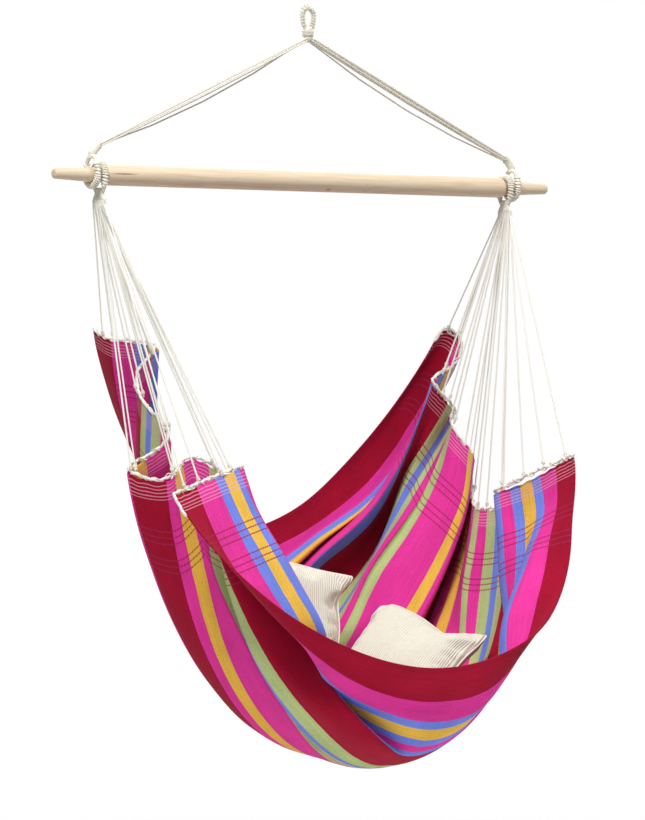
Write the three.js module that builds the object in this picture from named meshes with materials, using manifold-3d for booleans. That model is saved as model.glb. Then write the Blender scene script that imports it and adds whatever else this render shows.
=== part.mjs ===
// A hammock chair: a turned wooden spreader bar hangs on rope strands from a whipped eye, and a
// striped cloth seat hangs from the bar on two fans of cords. Two loose pillows lie in the seat.
// Millimetres, +Z up, +X along the bar, -Y to the front of the seat. The origin is where the hook
// bears: the inner top of the hanging eye.

import * as THREE from 'three';
import { mergeVertices } from 'three/addons/utils/BufferGeometryUtils.js';
import Module from 'manifold-3d';

const wasm = await Module();
wasm.setup();

// Clearances
const touchGap = 0.35; // between pieces that lie against each other
const runningGap = 0.5; // between a loop and the neck of the bar that turns in it

// Spreader bar
const barDrop = 313; // from the hanging point down to the axis of the bar
const barLength = 1100;
const barDiameter = 37;
const neckLength = 105;
const neckDiameter = 26;
const tipDiameter = 19;
const tipRounding = 5;
const shoulderRounding = 6;
const barSides = 24;

// Whipped loops at the ends of the ropes
const loopCoreDiameter = 8;
const whippingDiameter = 2.4;
const loopSteps = 24;
const loopSides = 6;
const whippingSteps = 6; // in each turn
const whippingSides = 4;
const roundSides = 20; // facets round the throat and the fan of a collar
const whippedFromShare = 0.16; // of a collar loop's length, left bare at each side of its point
const collarPoint = 34; // from the axis of the bar to the point of each collar loop
const collarTurns = 15;

// Hanging eye
const eyeCoreDiameter = 7;
const eyeWhippingDiameter = 2;
const eyeHoleDiameter = 11;
const eyePoint = 30; // from the centre of the eye's round to its point
const eyeTurns = 16;
const eyeWhippedFromShare = 0.1;
const throatDiameter = 16;
const throatDrop = 50; // from the hanging point down to the centre of the throat's round end
const lashingTurns = 4;
const throatSteps = 5; // facets down the round end of the throat
const lashingSides = 5;
const lashingSteps = 10; // in each turn
const lashingRise = 4; // from the throat's centre up to the lashing's first turn

// Suspension strands
const strandDiameter = 3;
const strandPitch = 3.7;
const strandColumns = 4;
const strandRows = 2;
const strandLead = 4; // straight length at each end of a strand
const collarStemRise = 20; // from the point of the collar loop up to the ends of the strands
const stemSides = 12; // facets round half of a stem
const collarStemReach = 16; // how far the stem leans towards the middle of the bar
const strandSagShares = [0, 0.003, 0, 0.002, 0.006, 0.01, 0.008, 0.034]; // of a strand's length
const strandBendShares = [0.25, 0.5, 0.75];

// Harness cords
const cordDiameter = 3.2;
const cordPitch = 3.9;
// Each cord is a hairpin with two legs. Where it takes the edge rope, as a share of the cloth's
// width, and how far its legs stand apart there, as a share of cordSpread.
const leftCordShares = [
  [0.05, 1], [0.13, 0.8], [0.22, 0.3], [0.35, 0.3], [0.45, 0.15],
  [0.52, 0.1], [0.65, 0.1], [0.75, 0.4], [0.85, 0.3], [0.95, 0.4],
];
const rightCordShares = [
  [0.05, 1], [0.14, 1], [0.22, 0.3], [0.34, 0.4], [0.43, 0.1],
  [0.55, 0.3], [0.65, 0.1], [0.75, 0.3], [0.85, 0.4], [0.95, 0.6],
];
const cordSpread = 22;
const cordCount = leftCordShares.length;
const cordLead = 9; // straight length at the top of each cord
const bendSteps = 4;
const ropeSides = 6; // facets round a strand, a cord and an edge rope
const fanDrop = 44; // from the axis of the bar down to where the cords leave their collar

// Edge rope at each end of the cloth
const edgeRopeDiameter = 6;
const edgeRopeTail = 9; // rope beyond each hem
const edgeRoom = 1.3; // between the cords' bends and the end of the cloth
const leastSlope = 0.5; // sine of the rope's angle to the cords, below which it rises no more

// Seat cloth
const clothWidth = 1000; // from the front hem to the back hem, along the cloth
const clothThickness = 2;
const endReach = 440; // half the distance between the two gathered ends
const endDepth = 350; // front to back over a gathered end
const endDrop = 560; // from the axis of the bar down to the lowest of a gathered end
const bowlDepth = 660; // front to back over the hanging middle
const bowlDrop = 1065; // from the axis of the bar down to the lowest of the cloth
const foldFade = 0.9; // how soon the folds die out towards the middle
// How far the cloth hangs straight rather than round at each end, by share of its width.
const leftTautShares = [
  [0, 0.2],
  [0.75, 0.2],
  [1, 0.45],
];
const rightTautShares = [
  [0, 0.03],
  [0.2, 0.4],
  [1, 0.4],
];
const smoothingShare = 0.2; // of the width, over which the folds average out

// Pillows
const pillowWidth = 236;
const pillowHeight = 214;
const pillowThickness = 84;
const pillowPullShare = 0.07; // of half a side, drawn in between the corners
const pillowSettleSteps = 4; // how often the last of the gap under a pillow is closed
const pillowCrownPower = 0.9;
const pillowColumns = 15;
const pillowRows = 13;
// How far each pillow lies outward, as a share of endReach, and backward, as a share of bowlDepth,
// then its turns in degrees: tipped back, rolled to the right and faced round.
const leftPillow = { outShare: -0.063, backShare: 0.085, turns: [67, 6, -21] };
const rightPillow = { outShare: 0.309, backShare: -0.182, turns: [39, 8, -67] };

// Each row is a fold of the gathered end: its share of the cloth's width from the front hem, then
// outward as a share of endReach, backward as a share of endDepth, downward as a share of endDrop.
const leftFoldShares = [
  [0, 1.014, -0.684, 1.021],
  [0.183, 0.625, -0.559, 0.938],
  [0.25, 0.767, -0.56, 1.007],
  [0.32, 0.639, -0.449, 0.982],
  [0.405, 0.79, -0.403, 0.912],
  [0.47, 0.889, -0.361, 0.982],
  [0.535, 1.008, -0.225, 0.963],
  [0.573, 0.924, -0.24, 0.912],
  [0.633, 0.831, -0.291, 0.846],
  [0.742, 0.866, -0.085, 0.729],
  [0.817, 0.823, 0.017, 0.627],
  [0.86, 0.743, -0.009, 0.562],
  [0.901, 0.808, 0.098, 0.539],
  [0.941, 0.883, 0.184, 0.532],
  [1, 0.891, 0.328, 0.5],
];
const rightFoldShares = [
  [0, 0.973, -0.699, 0.907],
  [0.192, 0.844, -0.223, 1.032],
  [0.245, 0.956, -0.196, 1.05],
  [0.29, 0.944, -0.074, 1.087],
  [0.366, 0.921, 0.089, 1.086],
  [0.46, 0.997, 0.256, 1.012],
  [0.56, 0.916, 0.17, 0.905],
  [0.633, 0.878, 0.232, 0.816],
  [0.697, 0.954, 0.328, 0.779],
  [0.742, 0.885, 0.284, 0.729],
  [0.81, 0.785, 0.258, 0.661],
  [0.893, 0.981, 0.357, 0.596],
  [0.941, 1.005, 0.389, 0.512],
  [0.965, 0.95, 0.42, 0.484],
  [1, 0.889, 0.421, 0.529],
];
// The hanging middle of the cloth: share of the width, backward as a share of bowlDepth, downward
// as a share of bowlDrop.
const middleShares = [
  [0, -0.592, 0.822],
  [0.075, -0.588, 0.891],
  [0.16, -0.508, 0.955],
  [0.28, -0.341, 0.995],
  [0.4, -0.159, 0.997],
  [0.545, 0.045, 0.95],
  [0.705, 0.227, 0.852],
  [0.855, 0.341, 0.734],
  [1, 0.411, 0.607],
];
const clothRows = 31; // facets over the width of the cloth
const clothColumns = 18; // facets along the cloth
const smoothingSamples = 9;
const slopeStep = 0.004; // of the cloth's length and width, over which its slope is taken

const material = (color, roughness, metalness = 0) =>
  new THREE.MeshStandardMaterial({ color, roughness, metalness });
const wood = material(0xe6d0b5, 0.62);
const rope = material(0xefeadb, 0.9);
const cloth = material(0xc22a6c, 0.85);
const ticking = material(0xe9e4d4, 0.9);

const up = new THREE.Vector3(0, 0, 1);
const barRadius = barDiameter / 2;
const neckRadius = neckDiameter / 2;
const strandRadius = strandDiameter / 2;
const cordRadius = cordDiameter / 2;
const edgeRopeRadius = edgeRopeDiameter / 2;
const throatRadius = throatDiameter / 2;
const throatCentre = new THREE.Vector3(0, 0, -throatDrop);

// A path that a section follows from point to point, with its steps at the points themselves.
class Route extends THREE.Curve {
  constructor(points) {
    super();
    this.points = points;
  }

  getPoint(t, target = new THREE.Vector3()) {
    const place = t * (this.points.length - 1);
    const first = Math.min(Math.floor(place), this.points.length - 2);
    return target.lerpVectors(this.points[first], this.points[first + 1], place - first);
  }

  getTangent(t, target = new THREE.Vector3()) {
    const last = this.points.length - 1;
    const at = Math.round(t * last);
    target.set(0, 0, 0);
    for (const start of [at - 1, at]) {
      if (start < 0 || start >= last) continue;
      const run = new THREE.Vector3().subVectors(this.points[start + 1], this.points[start]);
      target.add(run.normalize());
    }
    return target.normalize();
  }

  getUtoTmapping(u) {
    return u;
  }
}

// A loop in the YZ plane: half a circle on top, drawn out to a point below.
class EggLoop extends THREE.Curve {
  constructor(radius, point) {
    super();
    this.radius = radius;
    this.point = point;
  }

  getPoint(t, target = new THREE.Vector3()) {
    const angle = 2 * Math.PI * t;
    const height = -Math.cos(angle);
    const reach = height < 0 ? this.point : this.radius;
    return target.set(0, this.radius * Math.sin(angle), reach * height);
  }
}

// The part of a direction that is square to another one.
function squareTo(direction, along) {
  return direction.clone().addScaledVector(along, -direction.dot(along)).normalize();
}

// A mesh body with merged corners and its faces pointing out.
function closedBody(geometry) {
  const bare = new THREE.BufferGeometry();
  bare.setAttribute('position', geometry.getAttribute('position').clone());
  if (geometry.index) bare.setIndex(geometry.index.clone());
  const merged = mergeVertices(bare);
  const corner = [new THREE.Vector3(), new THREE.Vector3(), new THREE.Vector3()];
  const places = merged.getAttribute('position');
  const index = Array.from(merged.index.array);
  let volume = 0;
  const faces = [];
  for (let i = 0; i < index.length; i += 3) {
    const face = index.slice(i, i + 3);
    if (new Set(face).size < 3) continue;
    face.forEach((vertex, k) => corner[k].fromBufferAttribute(places, vertex));
    volume += corner[0].dot(corner[1].cross(corner[2]));
    faces.push(face);
  }
  merged.setIndex((volume < 0 ? faces.map((face) => face.reverse()) : faces).flat());
  return merged;
}

function polygon(radius, sides) {
  const corners = [];
  for (let i = 0; i < sides; i++) {
    const angle = (2 * Math.PI * i) / sides;
    corners.push(new THREE.Vector2(radius * Math.cos(angle), radius * Math.sin(angle)));
  }
  return new THREE.Shape(corners);
}

function tube(points, radius, sides) {
  const settings = { steps: points.length - 1, extrudePath: new Route(points) };
  return closedBody(new THREE.ExtrudeGeometry(polygon(radius, sides), settings));
}

function toSolid(geometry) {
  const { attributes, index } = closedBody(geometry);
  const vertProperties = new Float32Array(attributes.position.array);
  return new wasm.Manifold(
    new wasm.Mesh({ numProp: 3, vertProperties, triVerts: new Uint32Array(index.array) }),
  );
}

function joined(...geometries) {
  let sum = toSolid(geometries[0]);
  for (const geometry of geometries.slice(1)) sum = sum.add(toSolid(geometry));
  const { vertProperties, triVerts } = sum.getMesh();
  const result = new THREE.BufferGeometry();
  result.setAttribute('position', new THREE.BufferAttribute(new Float32Array(vertProperties), 3));
  result.setIndex(Array.from(triVerts));
  return closedBody(result);
}

function named(name, geometry, finish) {
  const mesh = new THREE.Mesh(geometry, finish);
  mesh.name = name;
  return mesh;
}

// The distance from a winding's centre line to that of the core which it goes round. Its steps are
// straight, so they cut the corners of each turn, and the winding stands off by that much.
function whippingReach(coreRadius, wireRadius) {
  return (coreRadius + touchGap + wireRadius) / Math.cos(Math.PI / whippingSteps);
}

// The points of a winding round a loop, between two shares of the loop's length. Each end runs
// straight on for one diameter of the wire.
function whippingPoints(loop, reach, turns, fromShare, toShare, wireDiameter) {
  const points = [];
  const count = turns * whippingSteps;
  for (let i = 0; i <= count; i++) {
    const share = fromShare + ((toShare - fromShare) * i) / count;
    const along = loop.getTangentAt(share);
    const across = new THREE.Vector3(1, 0, 0);
    const outward = new THREE.Vector3().crossVectors(along, across).normalize();
    const angle = (2 * Math.PI * i) / whippingSteps;
    const point = loop.getPointAt(share);
    point.addScaledVector(outward, reach * Math.cos(angle));
    point.addScaledVector(across, reach * Math.sin(angle));
    points.push(point);
  }
  return withTails(points, wireDiameter);
}

// The same points with a straight run added at each end.
function withTails(points, length) {
  const first = new THREE.Vector3().subVectors(points[0], points[1]).setLength(length);
  const last = new THREE.Vector3().subVectors(points.at(-1), points.at(-2)).setLength(length);
  return [first.add(points[0]), ...points, last.add(points.at(-1))];
}

// The least gap of a winding to its own next turn, measured on its points.
function leastGap(points, wireDiameter) {
  let least = Infinity;
  for (let i = 0; i < points.length; i++) {
    for (let j = i + whippingSteps - 1; j < points.length; j++) {
      least = Math.min(least, points[i].distanceTo(points[j]));
    }
  }
  return least - wireDiameter;
}

function whipping(name, loop, coreDiameter, wireDiameter, turns, fromShare, toShare) {
  const reach = whippingReach(coreDiameter / 2, wireDiameter / 2);
  const points = whippingPoints(loop, reach, turns, fromShare, toShare, wireDiameter);
  console.log(`${name}: least gap to itself ${leastGap(points, wireDiameter).toFixed(2)} mm`);
  return named(name, tube(points, wireDiameter / 2, whippingSides), rope);
}

// Spreader bar: a thick body that steps down at round shoulders to a tapered neck at each end.
function spreaderBar() {
  const half = barLength / 2;
  const shoulder = half - neckLength;
  const tipRadius = tipDiameter / 2;
  const collarEnd = shoulder + 2 * collarWidth() + touchGap;
  const outline = new THREE.Path();
  outline.moveTo(0, -half);
  outline.lineTo(tipRadius - tipRounding, -half);
  outline.quadraticCurveTo(tipRadius, -half, tipRadius, -half + tipRounding);
  outline.lineTo(neckRadius, -collarEnd);
  outline.lineTo(neckRadius, -shoulder);
  outline.lineTo(barRadius - shoulderRounding, -shoulder);
  outline.quadraticCurveTo(barRadius, -shoulder, barRadius, -shoulder + shoulderRounding);
  const lower = outline.getPoints(3);
  const profile = lower.concat(lower.map((p) => new THREE.Vector2(p.x, -p.y)).reverse());
  const bar = named('spreader_bar', closedBody(new THREE.LatheGeometry(profile, barSides)), wood);
  bar.rotation.z = -Math.PI / 2;
  bar.position.z = -barDrop;
  return bar;
}

function collarWhippedRadius() {
  return whippingReach(loopCoreDiameter / 2, whippingDiameter / 2) + whippingDiameter / 2;
}

function collarWidth() {
  return 2 * collarWhippedRadius() + touchGap;
}

function collarLoop() {
  return new EggLoop(neckRadius + runningGap + collarWhippedRadius(), collarPoint);
}

// The harness collar sits against the shoulder, and the suspension collar outside it.
const harnessCollarX = barLength / 2 - neckLength + touchGap + collarWhippedRadius();
const suspensionCollarX = harnessCollarX + collarWidth();

function loopBody(loop, diameter) {
  return new THREE.TubeGeometry(loop, loopSteps, diameter / 2, loopSides, true);
}

// Harness collar: the loop round the neck, whose point widens into the flat fan of the cords.
function harnessCollar(side, sign) {
  const loop = collarLoop();
  const fanHalf = (cordCount * cordPitch) / 2 + touchGap;
  const fanTop = collarPoint - loopCoreDiameter;
  const fan = new THREE.CylinderGeometry(loopCoreDiameter, fanHalf, fanDrop - fanTop, roundSides);
  fan.rotateX(Math.PI / 2);
  fan.scale((cordPitch + cordRadius) / fanHalf, 1, 1);
  fan.translate(0, 0, -(fanDrop + fanTop) / 2);
  const group = new THREE.Group();
  group.position.set(sign * harnessCollarX, 0, -barDrop);
  group.add(
    named(`harness_collar_${side}`, joined(loopBody(loop, loopCoreDiameter), fan), rope),
    whipping(`harness_collar_${side}_whipping`, loop, loopCoreDiameter, whippingDiameter,
      collarTurns, whippedFromShare, 1 - whippedFromShare),
  );
  return group;
}

// The stem of the suspension collar leans in, and its end is square to the strands.
function stemEnd(sign) {
  const x = sign * (suspensionCollarX - collarStemReach);
  return new THREE.Vector3(x, 0, -barDrop + collarPoint + collarStemRise);
}

function pullDirection(sign) {
  return new THREE.Vector3().subVectors(throatCentre, stemEnd(sign)).normalize();
}

function suspensionCollar(side, sign) {
  const loop = collarLoop();
  const base = new THREE.Vector3(sign * suspensionCollarX, 0, -barDrop);
  const end = stemEnd(sign).sub(base);
  const beforeEnd = end.clone().addScaledVector(pullDirection(sign), -strandLead);
  const start = new THREE.Vector3(0, 0, collarPoint - loopCoreDiameter / 2);
  const bend = new THREE.Vector3(0, 0, collarPoint + loopCoreDiameter / 2);
  const section = new THREE.Shape();
  const halfThick = (strandRows * strandPitch) / 2 + touchGap;
  const halfWide = (strandColumns * strandPitch) / 2 + touchGap;
  section.absellipse(0, 0, halfThick, halfWide, 0, 2 * Math.PI, false, 0);
  const stem = new THREE.ExtrudeGeometry(section, {
    curveSegments: stemSides, steps: 3, extrudePath: new Route([start, bend, beforeEnd, end]),
  });
  const ring = loopBody(loop, loopCoreDiameter).rotateX(Math.PI);
  const wound = whipping(`suspension_collar_${side}_whipping`, loop, loopCoreDiameter,
    whippingDiameter, collarTurns, whippedFromShare, 1 - whippedFromShare);
  wound.rotation.x = Math.PI;
  const group = new THREE.Group();
  group.position.copy(base);
  group.add(named(`suspension_collar_${side}`, joined(ring, stem), rope), wound);
  return group;
}

// Hanging eye: the bunched strands bent round the hook, closed below by a throat with a round end.
function hangingEye() {
  const reach = whippingReach(eyeCoreDiameter / 2, eyeWhippingDiameter / 2);
  const whippedRadius = reach + eyeWhippingDiameter / 2;
  const radius = eyeHoleDiameter / 2 + whippedRadius;
  const loop = new EggLoop(radius, eyePoint);
  const centreZ = -eyeHoleDiameter / 2;
  const throatTop = eyePoint - eyeCoreDiameter / 2;
  const throatEnd = throatDrop + centreZ;
  const profile = [new THREE.Vector2(0, -throatEnd - throatRadius)];
  for (let i = 1; i <= throatSteps; i++) {
    const angle = (Math.PI / 2) * (i / throatSteps);
    const point = new THREE.Vector2(Math.sin(angle), -Math.cos(angle)).multiplyScalar(throatRadius);
    profile.push(point.add(new THREE.Vector2(0, -throatEnd)));
  }
  profile.push(new THREE.Vector2(throatRadius, -throatTop));
  profile.push(new THREE.Vector2(throatRadius / 2, -throatTop + eyeCoreDiameter / 4));
  profile.push(new THREE.Vector2(0, -throatTop + eyeCoreDiameter / 2));
  const throat = new THREE.LatheGeometry(profile, roundSides).rotateX(Math.PI / 2);
  const group = new THREE.Group();
  group.rotation.z = Math.PI / 2;
  group.position.z = centreZ;
  group.add(
    named('hanging_eye', joined(loopBody(loop, eyeCoreDiameter), throat), rope),
    whipping('hanging_eye_whipping', loop, eyeCoreDiameter, eyeWhippingDiameter, eyeTurns,
      eyeWhippedFromShare, 1 - eyeWhippedFromShare),
  );
  return group;
}

// The lashing closes the eye: a few turns round the throat, free to turn on it.
function throatLashing() {
  const wireRadius = eyeWhippingDiameter / 2;
  const reach = (throatRadius + runningGap + wireRadius) / Math.cos(Math.PI / lashingSteps);
  const pitch = eyeWhippingDiameter + runningGap;
  const points = [];
  for (let i = 0; i <= lashingTurns * lashingSteps; i++) {
    const angle = (2 * Math.PI * i) / lashingSteps;
    const height = -throatDrop + lashingRise + (pitch * i) / lashingSteps;
    points.push(new THREE.Vector3(reach * Math.cos(angle), reach * Math.sin(angle), height));
  }
  const gap = pitch - eyeWhippingDiameter;
  console.log(`eye_throat_lashing: least gap to itself ${gap.toFixed(2)} mm`);
  const route = withTails(points, eyeWhippingDiameter);
  return named('eye_throat_lashing', tube(route, wireRadius, lashingSides), rope);
}

// The strands of one side leave the round end of the throat square to it and end on the stem.
function suspensionStrands(side, sign) {
  const pull = pullDirection(sign);
  const across = new THREE.Vector3(0, 1, 0);
  const lift = squareTo(up, pull);
  const startReach = throatRadius + touchGap;
  const strands = [];
  for (let number = 0; number < strandRows * strandColumns; number++) {
    const wide = ((number % strandColumns) - (strandColumns - 1) / 2) * strandPitch;
    const high = ((strandRows - 1) / 2 - Math.floor(number / strandColumns)) * strandPitch;
    const offset = new THREE.Vector3().addScaledVector(across, wide).addScaledVector(lift, high);
    const away = offset.clone().addScaledVector(pull, -startReach).normalize();
    const start = throatCentre.clone().addScaledVector(away, startReach);
    const end = stemEnd(sign).addScaledVector(pull, touchGap).add(offset);
    const startLead = start.clone().addScaledVector(away, strandLead);
    const endLead = end.clone().addScaledVector(pull, strandLead);
    const sag = strandSagShares[number] * start.distanceTo(end);
    const middle = strandBendShares.map((share) => {
      const point = new THREE.Vector3().lerpVectors(startLead, endLead, share);
      return point.addScaledVector(up, -4 * sag * share * (1 - share));
    });
    const route = [start, startLead, ...middle, endLead, end];
    const strand = tube(route, strandRadius, ropeSides);
    strands.push(named(`suspension_strand_${side}_${number + 1}`, strand, rope));
  }
  return strands;
}

// A smooth line through the rows of a table, at a share of its first column.
function alongTable(table, share) {
  let row = 1;
  while (row < table.length - 1 && share > table[row][0]) row++;
  const rowAt = (i) => table[Math.min(Math.max(i, 0), table.length - 1)];
  const [before, from, to, after] = [rowAt(row - 2), rowAt(row - 1), rowAt(row), rowAt(row + 1)];
  const t = (share - from[0]) / (to[0] - from[0]);
  return from.slice(1).map((value, i) => {
    const k = i + 1;
    const slopeIn = (to[k] - before[k]) / 2;
    const slopeOut = (after[k] - from[k]) / 2;
    const rise = to[k] - value;
    return value + t * slopeIn
      + t * t * (3 * rise - 2 * slopeIn - slopeOut)
      + t * t * t * (slopeIn + slopeOut - 2 * rise);
  });
}

// A point on a gathered end of the cloth.
function endPoint(sign, share) {
  const [out, back, down] = alongTable(sign < 0 ? leftFoldShares : rightFoldShares, share);
  return new THREE.Vector3(sign * out * endReach, back * endDepth, -barDrop - down * endDrop);
}

// The gathered end without its folds: each point averaged with its neighbours.
function smoothEndPoint(sign, share) {
  const half = Math.min(share, 1 - share, smoothingShare);
  const sum = new THREE.Vector3();
  for (let i = 0; i < smoothingSamples; i++) {
    const offset = half * ((2 * i) / (smoothingSamples - 1) - 1);
    sum.add(endPoint(sign, share + offset));
  }
  return sum.divideScalar(smoothingSamples);
}

function middlePoint(share) {
  const [back, down] = alongTable(middleShares, share);
  return new THREE.Vector3(0, back * bowlDepth, -barDrop - down * bowlDrop);
}

// A point of the cloth: along runs from -1 at the left end to 1 at the right one, and share from
// the front hem to the back one. Each line along the cloth hangs as a quarter of an ellipse from
// either end, and the folds of the end fade out on it.
function clothPoint(along, share) {
  const sign = along < 0 ? -1 : 1;
  const reach = Math.abs(along);
  const angle = (Math.PI / 2) * reach;
  const end = endPoint(sign, share);
  const smooth = smoothEndPoint(sign, share);
  const middle = middlePoint(share);
  const hang = Math.cos(angle);
  const [taut] = alongTable(sign < 0 ? leftTautShares : rightTautShares, share);
  const point = new THREE.Vector3(
    smooth.x * (taut * (1 - hang) + (1 - taut) * Math.sin(angle)),
    middle.y * hang + smooth.y * (1 - hang),
    middle.z * hang + smooth.z * (1 - hang),
  );
  return point.addScaledVector(end.sub(smooth), reach ** foldFade);
}

// The square direction of the cloth at a point, out of the side that nobody sits on.
function clothNormal(along, share) {
  const a0 = clothPoint(Math.max(along - slopeStep, -1), share);
  const a1 = clothPoint(Math.min(along + slopeStep, 1), share);
  const s0 = clothPoint(along, Math.max(share - slopeStep, 0));
  const s1 = clothPoint(along, Math.min(share + slopeStep, 1));
  return a1.sub(a0).cross(s1.sub(s0)).normalize();
}

// A closed body between two sides of a grid of points: the sides, then the rim round them.
function bodyOfGrid(columns, rows, sideAt) {
  const positions = [];
  for (const side of [-1, 1]) {
    for (let j = 0; j < rows; j++) {
      for (let i = 0; i < columns; i++) positions.push(...sideAt(i, j, side).toArray());
    }
  }
  const at = (i, j, side) => side * columns * rows + j * columns + i;
  const faces = [];
  for (let j = 0; j < rows - 1; j++) {
    for (let i = 0; i < columns - 1; i++) {
      const [a, b, c, d] = [at(i, j, 0), at(i + 1, j, 0), at(i + 1, j + 1, 0), at(i, j + 1, 0)];
      faces.push(a, c, b, a, d, c);
      const shift = columns * rows;
      faces.push(a + shift, b + shift, c + shift, a + shift, c + shift, d + shift);
    }
  }
  const rim = [];
  for (let i = 0; i < columns - 1; i++) rim.push([i, 0]);
  for (let j = 0; j < rows - 1; j++) rim.push([columns - 1, j]);
  for (let i = columns - 1; i > 0; i--) rim.push([i, rows - 1]);
  for (let j = rows - 1; j > 0; j--) rim.push([0, j]);
  rim.forEach(([i, j], k) => {
    const [nextI, nextJ] = rim[(k + 1) % rim.length];
    const [a, b] = [at(i, j, 0), at(nextI, nextJ, 0)];
    const [c, d] = [at(i, j, 1), at(nextI, nextJ, 1)];
    faces.push(a, b, d, a, d, c);
  });
  const geometry = new THREE.BufferGeometry();
  geometry.setAttribute('position', new THREE.Float32BufferAttribute(positions, 3));
  geometry.setIndex(faces);
  return closedBody(geometry);
}

function seatCloth() {
  const body = bodyOfGrid(clothColumns + 1, clothRows + 1, (i, j, side) => {
    const along = (2 * i) / clothColumns - 1;
    const share = j / clothRows;
    const point = clothPoint(along, share);
    return point.addScaledVector(clothNormal(along, share), (side * clothThickness) / 2);
  });
  return named('seat_cloth', body, cloth);
}

// The edge rope lies just above the end of the cloth, with room for the cords' bends between.
const bendReach = edgeRopeRadius + touchGap + cordRadius;
const ropeRise = bendReach + cordRadius + edgeRoom;

function fanPoint(sign) {
  return new THREE.Vector3(sign * harnessCollarX, 0, -barDrop - fanDrop);
}

// The rope's points stand off the cloth's edge along the pull of the cords, one at each row of the
// cloth, and further where the edge runs steeply, so that the rope keeps its room there.
function edgeRoute(sign) {
  const edge = Array.from({ length: clothRows + 1 }, (_, row) => endPoint(sign, row / clothRows));
  return edge.map((point, i) => {
    const rise = fanPoint(sign).sub(point).normalize();
    const slopes = [edge[i - 1], edge[i + 1]].filter(Boolean).map((next) => {
      const along = new THREE.Vector3().subVectors(next, point).normalize();
      return along.cross(rise).length();
    });
    return point.clone().addScaledVector(rise, ropeRise / Math.max(Math.min(...slopes), leastSlope));
  });
}

function edgeRope(side, sign) {
  const route = withTails(edgeRoute(sign), edgeRopeTail);
  return named(`edge_rope_${side}`, tube(route, edgeRopeRadius, ropeSides), rope);
}

// A place on the edge rope's line, at a share of the cloth's width.
function alongRoute(route, share) {
  const row = Math.floor(share * clothRows);
  return route[row].clone().lerp(route[row + 1], share * clothRows - row);
}

// Each cord is a hairpin: down from the fan on the outer side of the edge rope, under it, and up
// again on its other side, a little further on. The columns of the fan go to the cords by how far
// forward each cord ends.
function harnessCords(side, sign) {
  const route = edgeRoute(sign);
  const fan = fanPoint(sign);
  const bends = (sign < 0 ? leftCordShares : rightCordShares).map(([share, spread]) => {
    const half = (spread * cordSpread) / clothWidth;
    const placeAt = (way) => alongRoute(route, share + way * half);
    const along = placeAt(1).sub(placeAt(-1)).normalize();
    return { placeAt, centre: placeAt(0), along };
  });
  const frontToBack = [...bends].sort((a, b) => a.centre.y - b.centre.y);
  return bends.map(({ placeAt, centre, along }, i) => {
    const column = frontToBack.findIndex((bend) => bend.centre === centre);
    const top = new THREE.Vector3(fan.x, (column - (cordCount - 1) / 2) * cordPitch, fan.z - touchGap);
    const lift = squareTo(new THREE.Vector3().subVectors(top, centre), along);
    const outward = new THREE.Vector3().crossVectors(lift, along);
    if (outward.x < 0) outward.negate();
    const foot = (angle) => {
      const point = placeAt(-Math.cos(angle)).addScaledVector(outward, bendReach * Math.cos(angle));
      return point.addScaledVector(lift, -bendReach * Math.sin(angle));
    };
    const legs = [1, -1].map((way) => {
      const end = top.clone().setX(fan.x + (way * cordPitch) / 2);
      return [end, end.clone().addScaledVector(up, -cordLead)];
    });
    const bend = [];
    for (let k = 0; k <= bendSteps; k++) bend.push(foot((Math.PI * k) / bendSteps));
    const points = [...legs[0], ...bend, ...legs[1].reverse()];
    return named(`harness_cord_${side}_${i + 1}`, tube(points, cordRadius, ropeSides), rope);
  });
}

// A pillow: crowned on both faces, thin at its seams, with its sides drawn in between the corners.
function pillowBody() {
  return bodyOfGrid(pillowColumns, pillowRows, (i, j, side) => {
    const a = -Math.cos((Math.PI * i) / (pillowColumns - 1));
    const b = -Math.cos((Math.PI * j) / (pillowRows - 1));
    const crown = Math.sqrt(Math.max((1 - a * a) * (1 - b * b), 0)) ** pillowCrownPower;
    return new THREE.Vector3(
      (pillowWidth / 2) * a * (1 - pillowPullShare * (1 - b * b)),
      (pillowHeight / 2) * b * (1 - pillowPullShare * (1 - a * a)),
      (side * pillowThickness * crown) / 2,
    );
  });
}

// How far a body can come down before it meets the cloth, measured by upright rays both ways.
function fallOnto(body, below) {
  body.updateMatrixWorld(true);
  const ray = new THREE.Raycaster();
  let least = Infinity;
  const drop = (from, onto, direction) => {
    ray.set(from, direction);
    const hit = ray.intersectObject(onto)[0];
    if (hit) least = Math.min(least, hit.distance);
  };
  const places = body.geometry.getAttribute('position');
  const down = up.clone().negate();
  for (let i = 0; i < places.count; i++) {
    const point = new THREE.Vector3().fromBufferAttribute(places, i);
    drop(body.localToWorld(point), below, down);
  }
  const floor = below.geometry.getAttribute('position');
  for (let i = 0; i < floor.count; i++) {
    drop(new THREE.Vector3().fromBufferAttribute(floor, i), body, up);
  }
  return least;
}

// Closes the rest of the gap: a step down by the least gap can't reach the cloth.
function settleOnto(body, below) {
  const base = toSolid(below.geometry);
  for (let i = 0; i < pillowSettleSteps; i++) {
    body.updateMatrixWorld(true);
    const solid = toSolid(body.geometry.clone().applyMatrix4(body.matrixWorld));
    body.position.z -= solid.minGap(base, pillowThickness) - touchGap;
  }
}

// A pillow let down onto the cloth from above its ends.
function pillow(name, seat, { outShare, backShare, turns }) {
  const mesh = named(name, pillowBody(), ticking);
  mesh.position.set(outShare * endReach, backShare * bowlDepth, -barDrop - endDrop / 2);
  mesh.rotation.set(...turns.map(THREE.MathUtils.degToRad), 'ZYX');
  mesh.position.z -= fallOnto(mesh, seat) - touchGap;
  settleOnto(mesh, seat);
  return mesh;
}

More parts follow.
